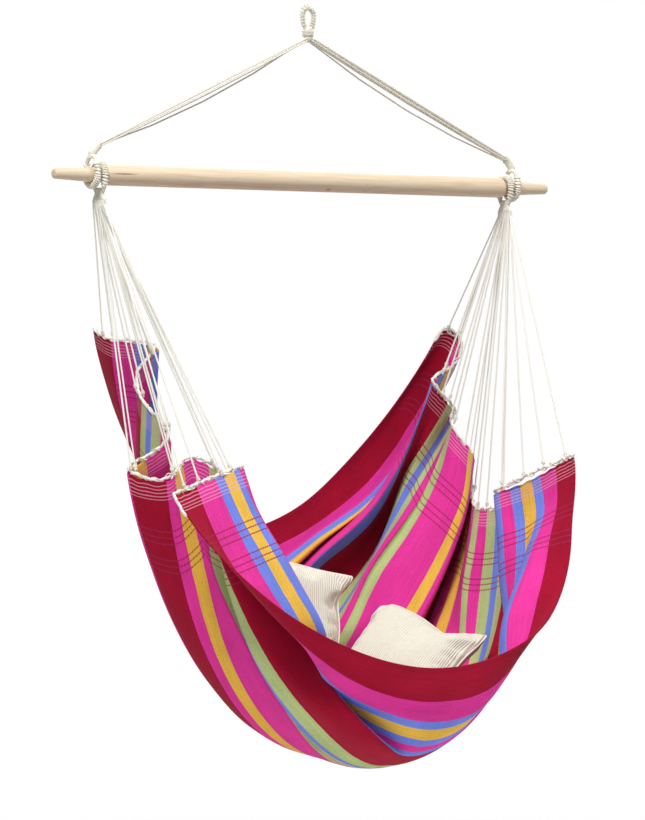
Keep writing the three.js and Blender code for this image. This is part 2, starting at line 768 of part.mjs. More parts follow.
const seat = seatCloth();
const hammockChair = new THREE.Group();
hammockChair.add(spreaderBar(), hangingEye(), throatLashing(), seat);
for (const [side, sign] of [['left', -1], ['right', 1]]) {
  hammockChair.add(
    harnessCollar(side, sign),
    suspensionCollar(side, sign),
    ...suspensionStrands(side, sign),
    edgeRope(side, sign),
    ...harnessCords(side, sign),
  );
}
hammockChair.add(
  pillow('pillow_left', seat, leftPillow),
  pillow('pillow_right', seat, rightPillow),
);

export default hammockChair;
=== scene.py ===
"""Looks of the hanging chair: striped cloth, pillows, rope work, bar, studio light and camera."""

import logging
import math
from dataclasses import dataclass
from enum import Enum
from functools import partial

import bmesh
import bpy
import numpy as np
from mathutils import Euler, Matrix, Vector


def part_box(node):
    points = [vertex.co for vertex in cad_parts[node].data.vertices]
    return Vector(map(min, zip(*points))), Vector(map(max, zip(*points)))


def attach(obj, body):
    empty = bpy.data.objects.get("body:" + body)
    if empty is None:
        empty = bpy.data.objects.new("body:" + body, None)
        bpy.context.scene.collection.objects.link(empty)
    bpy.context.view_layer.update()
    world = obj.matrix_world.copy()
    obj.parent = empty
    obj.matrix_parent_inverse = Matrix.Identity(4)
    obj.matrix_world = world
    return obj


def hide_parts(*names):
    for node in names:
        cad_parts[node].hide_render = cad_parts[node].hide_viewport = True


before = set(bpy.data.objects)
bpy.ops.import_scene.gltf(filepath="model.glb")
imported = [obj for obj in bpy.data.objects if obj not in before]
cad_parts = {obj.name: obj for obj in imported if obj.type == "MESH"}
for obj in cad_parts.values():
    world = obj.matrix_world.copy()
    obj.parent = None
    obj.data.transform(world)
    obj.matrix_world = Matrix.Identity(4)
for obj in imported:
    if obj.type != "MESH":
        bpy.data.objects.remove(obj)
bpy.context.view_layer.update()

MM = 0.001
FULL_TURN = 2 * math.pi

# Sizes that several pieces share, in millimetres, as in the source.
BAR_DROP = 313
FAN_X = 452.96
FAN_DROP = 44
CORD_PITCH = 3.9

# A curve's samples between two given points. The grooves of laid cord: their depth as a share of
# its radius, and how sharp they are. The least size of its rounded ends, squared.
CURVE_SAMPLES = 12
GROOVE_DEPTH = 0.16
GROOVE_POWER = 0.7
END_SHARE = 0.05

Tree = bpy.types.NodeTree
Socket = bpy.types.NodeSocket
Material = bpy.types.Material
Piece = bpy.types.Object
Points = np.ndarray
log = logging.getLogger("hanging_chair")


def linear(hex_colour: str) -> tuple[float, ...]:
    """Turns an sRGB colour to the linear values that a shader takes.

    Args:
        hex_colour: Six hex digits after a hash sign.

    Returns:
        Red, green, blue and an alpha of one.
    """
    parts = [int(hex_colour[i : i + 2], 16) / 255 for i in (1, 3, 5)]
    return (*[c / 12.92 if c <= 0.04045 else ((c + 0.055) / 1.055) ** 2.4 for c in parts], 1.0)


def add_node(
    tree: Tree, kind: str, *feeds: object, out: int | str | None = 0, **settings: object
) -> Socket | bpy.types.Node:
    """Adds a node with its settings, its values and its links.

    Args:
        tree: The node tree that takes it.
        kind: The type's name after "ShaderNode", then its operation after a dot, if it has one.
        feeds: Values or sockets for the first inputs, or one dict of them by name or number.
        out: The wanted output, or None for the node itself.
        settings: Properties of the node itself.

    Returns:
        The output, or the node.
    """
    kind, _, operation = kind.partition(".")
    node = tree.nodes.new("ShaderNode" + kind)
    if operation:
        node.operation = operation
    for key, value in settings.items():
        setattr(node, key, value)
    by_name = feeds and isinstance(feeds[0], dict)
    for key, value in (feeds[0] if by_name else dict(enumerate(feeds))).items():
        if isinstance(value, Socket):
            tree.links.new(value, node.inputs[key])
        else:
            node.inputs[key].default_value = value
    return node if out is None else node.outputs[out]


def new_material(name: str) -> tuple[Material, Tree]:
    """Makes a material with an empty node tree.

    Args:
        name: The material's name.

    Returns:
        The material and its tree.
    """
    material = bpy.data.materials.new(name)
    material.use_nodes = True
    material.node_tree.nodes.clear()
    return material, material.node_tree


def stretched_noise(
    tree: Tree, place: Socket, stretch: tuple, detail: float, distortion: float = 0.0
) -> Socket:
    """Adds a noise over places that are stretched first.

    Args:
        tree: The material's nodes.
        place: Places on the material.
        stretch: Grains per unit of place, along each axis.
        detail: How fine the noise goes.
        distortion: How much it is swirled.

    Returns:
        Its level.
    """
    scaled = add_node(tree, "VectorMath.MULTIPLY", place, stretch)
    values = {"Vector": scaled, "Scale": 1.0, "Detail": detail, "Distortion": distortion}
    return add_node(tree, "TexNoise", values)


def tinted(tree: Tree, level: Socket, span: tuple, under: Socket | str, over: str) -> Socket:
    """Lays a colour over another where a pattern is strong.

    Args:
        tree: The material's nodes.
        level: The pattern.
        span: The pattern's levels from and to, then the shares of the upper colour there.
        under: The lower colour, as a socket or as hex digits.
        over: The upper colour, as hex digits.

    Returns:
        The mixed colour.
    """
    share = add_node(tree, "MapRange", level, *span)
    base = linear(under) if isinstance(under, str) else under
    return add_node(tree, "Mix", {0: share, 6: base, 7: linear(over)}, out=2, data_type="RGBA")


def end_surface(
    tree: Tree, colour: Socket, height: Socket, relief: tuple[float, float], values: dict
) -> None:
    """Ends a material's nodes with its relief, its shader and its output.

    Args:
        tree: The material's nodes.
        colour: The surface's colour.
        height: The surface's height.
        relief: Strength of the relief, and its depth in millimetres.
        values: The shader's other values. Its IOR is 1.5, as cellulose has.
    """
    strength, depth = relief
    bump = add_node(tree, "Bump", {"Strength": strength, "Distance": depth * MM, "Height": height})
    shader = {"Base Color": colour, "IOR": 1.5, "Normal": bump, **values}
    add_node(tree, "OutputMaterial", add_node(tree, "BsdfPrincipled", shader), out=None)


def smooth_mesh(name: str, vertices: Points, faces: list, places: dict | None = None) -> Piece:
    """Makes a smooth-shaded mesh object.

    Args:
        name: The piece's name.
        vertices: Points in metres.
        faces: Vertex numbers of each face.
        places: For each UV map, one place per face corner, in millimetres of the real material.

    Returns:
        The object, linked to the scene.
    """
    mesh = bpy.data.meshes.new(name)
    mesh.from_pydata([tuple(v) for v in vertices], [], faces)
    for map_name, corners in (places or {}).items():
        layer = mesh.uv_layers.new(name=map_name)
        layer.data.foreach_set("uv", np.asarray(corners, np.float32).ravel())
    mesh.polygons.foreach_set("use_smooth", [True] * len(mesh.polygons))
    mesh.update()
    return linked(bpy.data.objects.new(name, mesh))


def linked(thing: Piece) -> Piece:
    """Links an object to the scene and gives it back."""
    bpy.context.scene.collection.objects.link(thing)
    return thing


def dress(piece: Piece, material: Material) -> None:
    """Gives a piece one material, in place of any that it had."""
    piece.data.materials.clear()
    piece.data.materials.append(material)


def seat(piece: Piece, material: Material, body: str, node: str = "") -> None:
    """Dresses a piece and seats it in the frame.

    Args:
        piece: The piece.
        material: Its only material.
        body: Body that carries it.
        node: Node of the source that it replaces, if it does.
    """
    dress(piece, material)
    if node:
        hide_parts(node)
    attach(piece, body)


def unit(vectors: Points) -> Points:
    """Scales each vector to the length one."""
    return vectors / np.linalg.norm(vectors, axis=-1, keepdims=True)


def reach_along(line: Points) -> Points:
    """Gives how far along a line each of its points lies."""
    return np.append(0, np.cumsum(np.linalg.norm(np.diff(line, axis=0), axis=1)))


def grid_quads(index: Points) -> Points:
    """Gives the four corners of each cell of a grid of vertex numbers."""
    corners = [index[:-1, :-1], index[:-1, 1:], index[1:, 1:], index[1:, :-1]]
    return np.stack(corners, axis=2).reshape(-1, 4)


def tube_faces(rings: int, sides: int) -> tuple[Points, Points, Points]:
    """Numbers the faces of a tube of equal rings.

    Args:
        rings: How many rings it has.
        sides: Points of each ring.

    Returns:
        The quads, then the numbers of the first ring and of the last one.
    """
    ring = np.arange(rings * sides).reshape(rings, sides)
    return grid_quads(np.hstack([ring, ring[:, :1]])), ring[0], ring[-1]


def smooth_line(points: Points, step: float) -> Points:
    """Runs a smooth curve through points and samples it evenly.

    Args:
        points: Places that the curve passes through.
        step: Distance between samples, in the points' unit.

    Returns:
        The samples, first and last point included.
    """
    padded = np.vstack([2 * points[0] - points[1], points, 2 * points[-1] - points[-2]])
    t = np.linspace(0, 1, CURVE_SAMPLES, endpoint=False)[:, None]
    dense = []
    for i in range(1, len(padded) - 2):
        p0, p1, p2, p3 = padded[i - 1 : i + 3]
        bend = (2 * p0 - 5 * p1 + 4 * p2 - p3) * t**2 + (3 * p1 - p0 - 3 * p2 + p3) * t**3
        dense.append(0.5 * (2 * p1 + (p2 - p0) * t + bend))
    dense = np.vstack([*dense, points[-1]])
    reach = reach_along(dense)
    stops = np.linspace(0, reach[-1], max(int(reach[-1] / step) + 1, 4))
    return np.stack([np.interp(stops, reach, dense[:, k]) for k in range(3)], axis=1)


def swept_tube(
    name: str, line: Points, radius: float, sides: int, lobes: int = 0, lay: float = 1.0
) -> Piece:
    """Sweeps a round or lobed section along a line, with rounded ends.

    Args:
        name: The piece's name.
        line: Points in millimetres, evenly spaced.
        radius: Outer radius in millimetres.
        sides: Points round the section.
        lobes: Strands that show on the section, or none for a plain round one.
        lay: Length in millimetres of one full turn of the strands.

    Returns:
        The tube, with a UV map named lay: millimetres along, and round.
    """
    tangents = unit(np.gradient(line, axis=0))
    side = unit(np.cross(tangents[0], [0.31, 0.94, 0.17]))
    reach = reach_along(line)
    angles = np.linspace(0, FULL_TURN, sides, endpoint=False)
    rings = []
    for point, tangent, s in zip(line, tangents, reach):
        side = unit(side - tangent * np.dot(side, tangent))
        other = np.cross(tangent, side)
        shape = np.ones(sides)
        if lobes:
            turned = lobes * (angles - FULL_TURN * s / lay) / 2
            shape += GROOVE_DEPTH * (np.abs(np.cos(turned)) ** GROOVE_POWER - 1)
        near_end = min(s, reach[-1] - s)
        if near_end < radius:
            shape = shape * math.sqrt(max(1 - (1 - near_end / radius) ** 2, END_SHARE))
        section = np.outer(np.cos(angles), side) + np.outer(np.sin(angles), other)
        rings.append(point + radius * shape[:, None] * section)
    quads, first, last = tube_faces(len(line), sides)
    around = np.arange(sides + 1) * FULL_TURN * radius / sides
    places = np.stack(np.meshgrid(reach, around, indexing="ij"), axis=-1).reshape(-1, 2)
    cells = grid_quads(np.arange(len(places)).reshape(len(line), sides + 1))
    ends = [[(0, 0)] * sides, [(reach[-1], 0)] * sides]
    corners = np.concatenate([places[cells.ravel()], *ends])
    faces = [*quads.tolist(), first[::-1].tolist(), last.tolist()]
    return smooth_mesh(name, np.concatenate(rings) * MM, faces, {"lay": corners})


def merged(name: str, pieces: list[Piece]) -> Piece:
    """Joins pieces to one.

    Args:
        name: Name of the whole.
        pieces: The pieces, which are used up.

    Returns:
        The whole, with the UV maps of its pieces.
    """
    whole = bmesh.new()
    for piece in pieces:
        whole.from_mesh(piece.data)
        bpy.data.objects.remove(piece)
    mesh = bpy.data.meshes.new(name)
    whole.to_mesh(mesh)
    whole.free()
    return linked(bpy.data.objects.new(name, mesh))


class Yarn(Enum):
    """Dyed cotton yarns of the cloth."""

    CRIMSON = "#A4082E"
    PINK = "#E6389C"
    BLUE = "#7489E6"
    YELLOW = "#F0BE4C"
    GREEN = "#B9C886"


@dataclass(frozen=True)
class StripedCottonWeave:
    """Plain weave of dyed cotton: matt, warp striped, with single weft threads that cross it."""

    cloth_width: float = 1000.0
    # Drawn at about twice the real thread spacing, so that it shows at all.
    thread_pitch: float = 2.6
    weft_colour: str = "#A0264F"
    stitch_colour: str = "#E9A9BE"
    # Places from the cloth's end, then spacing, count and width of the lines in a group.
    weft_places: tuple = (100, 155)
    weft_group: tuple = (12.0, 3, 2.6)
    stitch_place: float = 17
    stitch_group: tuple = (5.5, 5, 1.7)
    dash_turn: float = 1.15
    # Where each stripe ends, from the hem, up to the cloth's middle.
    stripes: tuple[tuple[float, Yarn], ...] = (
        (59, Yarn.CRIMSON),
        (99, Yarn.PINK),
        (117, Yarn.BLUE),
        (141, Yarn.YELLOW),
        (159, Yarn.BLUE),
        (183, Yarn.PINK),
        (201, Yarn.BLUE),
        (258, Yarn.CRIMSON),
        (280, Yarn.GREEN),
        (296.5, Yarn.BLUE),
        (320.5, Yarn.GREEN),
        (344.5, Yarn.PINK),
        (366.5, Yarn.GREEN),
        (426.5, Yarn.PINK),
        (450.5, Yarn.YELLOW),
        (470.5, Yarn.PINK),
        (500, Yarn.CRIMSON),
    )

    def lines(self, tree: Tree, place: Socket, centre: float, group: tuple) -> Socket:
        """Marks a group of even lines across the cloth.

        Args:
            tree: The material's nodes.
            place: Millimetres from the cloth's nearer end.
            centre: Place of the group's middle.
            group: Distance from line to line, lines in the group and width of a line.

        Returns:
            One on a line and zero elsewhere.
        """
        add = partial(add_node, tree)
        spacing, count, width = group
        shifted = add("Math.SUBTRACT", place, centre)
        inside = add("Math.LESS_THAN", add("Math.ABSOLUTE", shifted), spacing * count / 2)
        offset = add("Math.ADD", shifted, spacing * (count - 1) / 2)
        gap = add("Math.ABSOLUTE", add("Math.WRAP", offset, spacing / 2, -spacing / 2))
        return add("Math.MULTIPLY", inside, add("Math.LESS_THAN", gap, width / 2))

    def material(self) -> Material:
        """Builds the cloth's material.

        Returns:
            The material. It reads the UV maps cut and ends, both in millimetres.
        """
        material, tree = new_material("striped_cotton_weave")
        add = partial(add_node, tree)
        cut = add("UVMap", uv_map="cut")
        along, across = add("SeparateXYZ", cut, out=None).outputs[:2]
        from_end = add("SeparateXYZ", add("UVMap", uv_map="ends"))

        # Stripe borders wander by part of a millimetre, as warp threads do.
        half, wander = self.cloth_width / 2, 2.2
        wandering = stretched_noise(tree, cut, (0.03, 0.4, 0), 2.0)
        wandered = add("Math.MULTIPLY_ADD", wandering, wander, across)
        off_middle = add("Math.ABSOLUTE", add("Math.SUBTRACT", wandered, half + wander / 2))
        ramp = add("ValToRGB", add("MapRange", off_middle, half, 0.0), out=None)
        ramp.color_ramp.interpolation = "CONSTANT"
        stops = ramp.color_ramp.elements
        stops[0].color = linear(self.stripes[0][1].value)
        stops.remove(stops[1])
        for (start, _), (_, yarn) in zip(self.stripes, self.stripes[1:]):
            stops.new(start / half).color = linear(yarn.value)

        # Single warp threads took the dye a little differently.
        threads = stretched_noise(tree, cut, (0.006, 0.55, 0), 3.0)
        clouds = stretched_noise(tree, cut, (0.012, 0.02, 0), 4.0)
        fleck = stretched_noise(tree, cut, (0.3, 0.34, 0), 2.0)
        tone = add("Math.ADD", add("Math.MULTIPLY_ADD", fleck, 0.9, threads), clouds)
        # The weave: warp and weft threads go over and under each other, and painted shade makes the
        # colour a little darker where a thread dips and lighter where it rises.
        turn = FULL_TURN / self.thread_pitch
        waves = [add("Math.SINE", add("Math.MULTIPLY", place, turn)) for place in (along, across)]
        weave = add("Math.MULTIPLY", *waves)
        colour = ramp.outputs[0]
        # Random tone of the threads, then the weave's painted shade, scale the stripe colour.
        for pattern, span in ((tone, (1.05, 1.85, 0.78, 1.2)), (weave, (-1.0, 1.0, 0.88, 1.1))):
            values = {0: 1.0, 6: colour, 7: add("MapRange", pattern, *span)}
            colour = add("Mix", values, out=2, data_type="RGBA", blend_type="MULTIPLY")

        # Two groups of three contrast threads, and the light rows of the end's bartack.
        groups = [self.lines(tree, from_end, at, self.weft_group) for at in self.weft_places]
        both = add("Math.ADD", *groups)
        dash = add("Math.SINE", add("Math.MULTIPLY", across, self.dash_turn))
        weft = add("Math.MULTIPLY", both, add("MapRange", dash, -0.9, 0.2, 0.45, 0.95))
        colour = tinted(tree, weft, (0.0, 1.0, 0.0, 1.0), colour, self.weft_colour)
        rows = self.lines(tree, from_end, self.stitch_place, self.stitch_group)
        colour = tinted(tree, rows, (0.0, 1.0, 0.0, 0.6), colour, self.stitch_colour)
        raised = add("Math.MULTIPLY_ADD", both, 0.8, weave)
        height = add("Math.MULTIPLY_ADD", threads, 1.4, raised)
        # Cotton has no gloss: high roughness, and a thin sheen from its loose fibres.
        values = {"Roughness": 0.88, "Specular IOR Level": 0.15, "Sheen Weight": 0.03}
        end_surface(tree, colour, height, (0.5, 0.5), {**values, "Sheen Roughness": 0.5})
        return material


@dataclass(frozen=True)
class RibbedCottonCover:
    """Undyed cotton with woven ribs: cream, soft, with a small shadow along each rib."""

    # Real ribs are about 3 mm apart. They are drawn a little wider to show.
    rib_pitch: float = 4.0
    crest_colour: str = "#ECE9DA"
    valley_colour: str = "#D6CFB8"
    fleck_colour: str = "#DDC3B8"

    def material(self) -> Material:
        """Builds the pillow cover's material.

        Returns:
            The material. It reads the UV map cut, in millimetres.
        """
        material, tree = new_material("ribbed_cotton_cover")
        add = partial(add_node, tree)
        cut = add("UVMap", uv_map="cut")
        wobble = stretched_noise(tree, cut, (0.05, 0.02, 0), 1.0)
        wavy = add("Math.MULTIPLY_ADD", wobble, 3.0, add("SeparateXYZ", cut))
        rib = add("Math.SINE", add("Math.MULTIPLY", wavy, FULL_TURN / self.rib_pitch))
        slub = stretched_noise(tree, cut, (0.5, 0.09, 0), 3.0)
        height = add("Math.MULTIPLY_ADD", slub, 1.1, rib)
        colour = tinted(tree, height, (-0.8, 0.8), self.valley_colour, self.crest_colour)
        colour = tinted(tree, slub, (0.55, 0.75, 0.0, 0.5), colour, self.fleck_colour)
        values = {"Roughness": 0.92, "Specular IOR Level": 0.2, "Sheen Weight": 0.1}
        end_surface(tree, colour, height, (0.6, 0.9), values)
        return material


@dataclass(frozen=True)
class TwistedCottonCord:
    """Undyed laid cotton cord: cream, matt, with a groove that winds round it, painted darker there
    as shade.
    """

    name: str
    axis: tuple[float, float, float]
    # The cord's cream, then the painted shade in its groove.
    crest_colour: str = "#FFFDF6"
    groove_shade_colour: str = "#E4DECC"
    # One turn of the three yarns. Real cord of this size has about 10 mm.
    lay: float = 10.0
    yarns: int = 3

    def material(self) -> Material:
        """Builds the cord's material.

        Returns:
            The material. Its lay follows the cord's axis and the surface's own normal.
        """
        material, tree = new_material(self.name)
        add = partial(add_node, tree)
        axis = Vector(self.axis).normalized()
        side = axis.cross(Vector((0.1, 1.0, 0.05))).normalized()
        place = add("TexCoord", out=None).outputs
        ways = (("Object", axis), ("Normal", side), ("Normal", axis.cross(side)))
        along, *round_places = [
            add("VectorMath.DOT_PRODUCT", place[source], tuple(way), out=1) for source, way in ways
        ]
        around = add("Math.MULTIPLY", add("Math.ARCTAN2", *round_places), float(self.yarns))
        turns = FULL_TURN * self.yarns / (self.lay * MM)
        wave = add("Math.SINE", add("Math.MULTIPLY_ADD", along, turns, around))
        fibre = add("TexNoise", {"Vector": place["Object"], "Scale": 900.0, "Detail": 2.0})
        height = add("Math.MULTIPLY_ADD", fibre, 0.9, wave)
        # Painted shade: the colour darkens toward the groove, by the height that also makes the
        # relief.
        colour = tinted(tree, height, (-0.7, 0.7), self.groove_shade_colour, self.crest_colour)
        values = {"Roughness": 0.9, "Specular IOR Level": 0.2, "Sheen Weight": 0.15}
        end_surface(tree, colour, height, (0.6, 0.5), values)
        return material


@dataclass(frozen=True)
class WoundCottonCord:
    """Undyed cotton cord wound tight: cream, with fibres, uneven tone, and small hollows between
    its yarns that are painted darker as shade.
    """

    name: str = "wound_cotton_cord"
    # Its cream, then the painted shade of the hollows, which also carries its uneven tone.
    light_colour: str = "#F8F5EA"
    hollow_shade_and_tone_colour: str = "#CDC3A8"
    # Yarns of about 1.2 mm.
    yarn_size: float = 1.2

    def material(self) -> Material:
        """Builds the material.

        Returns:
            The material. It needs no UV map.
        """
        material, tree = new_material(self.name)
        add = partial(add_node, tree)
        place, scale = add("TexCoord", out="Object"), 1 / (self.yarn_size * MM)
        values = {"Vector": place, "Scale": scale, "Detail": 3.0, "Roughness": 0.6}
        yarns = add("TexNoise", values)
        stain = add("TexNoise", {"Vector": place, "Scale": 45.0, "Detail": 3.0})
        level = add("Math.MULTIPLY_ADD", stain, 0.6, yarns)
        # Painted shade: darker where the yarn noise is low, in the hollows of the relief; the stain
        # noise adds uneven tone.
        colour = tinted(tree, level, (0.55, 0.95), self.hollow_shade_and_tone_colour, self.light_colour)
        values = {"Roughness": 0.92, "Specular IOR Level": 0.2, "Sheen Weight": 0.15}
        end_surface(tree, colour, yarns, (0.5, 0.5), values)
        return material


@dataclass(frozen=True)
class TurnedPine:
    """Pine turned and fine sanded, left bare: pale, with long grain, pores and two marks."""

    base_colour: str = "#DAC6AA"
    grain_colour: str = "#C2A47D"
    pore_colour: str = "#94704C"
    # A drying check near the left neck and a bruise near the middle: place and reach in mm.
    marks: tuple = (
        ("#6E4E30", (-411, -18.5, -311), (34, 8, 1.8)),
        ("#B4704E", (38, -12, -327), (9, 6, 2.2)),
    )

    def material(self) -> Material:
        """Builds the wood's material.

        Returns:
            The material. Its grain runs along X of the object.
        """
        material, tree = new_material("turned_pine")
        add = partial(add_node, tree)
        place = add("TexCoord", out="Object")
        # Growth rings of about 3 mm, cut at a low angle, so they run far along the bar.
        grain = stretched_noise(tree, place, (9.0, 260.0, 260.0), 4.0, 0.6)
        fine = stretched_noise(tree, place, (70.0, 1400.0, 1400.0), 2.0)
        colour = tinted(tree, grain, (0.48, 0.74, 0.0, 0.7), self.base_colour, self.grain_colour)
        colour = tinted(tree, fine, (0.62, 0.8, 0.0, 0.45), colour, self.pore_colour)
        for mark, at, reach in self.marks:
            scale = [1 / (size * MM) for size in reach]
            offset = [-spot * MM * by for spot, by in zip(at, scale)]
            near = add("VectorMath.MULTIPLY_ADD", place, scale, offset)
            distance = add("VectorMath.LENGTH", near, out=1)
            colour = tinted(tree, distance, (1.0, 0.4, 0.0, 0.8), colour, mark)
        # Sanded bare wood: half matt, with a weak gloss where it was burnished in turning.
        end_surface(tree, colour, fine, (0.25, 0.3), {"Roughness": 0.58})
        return material


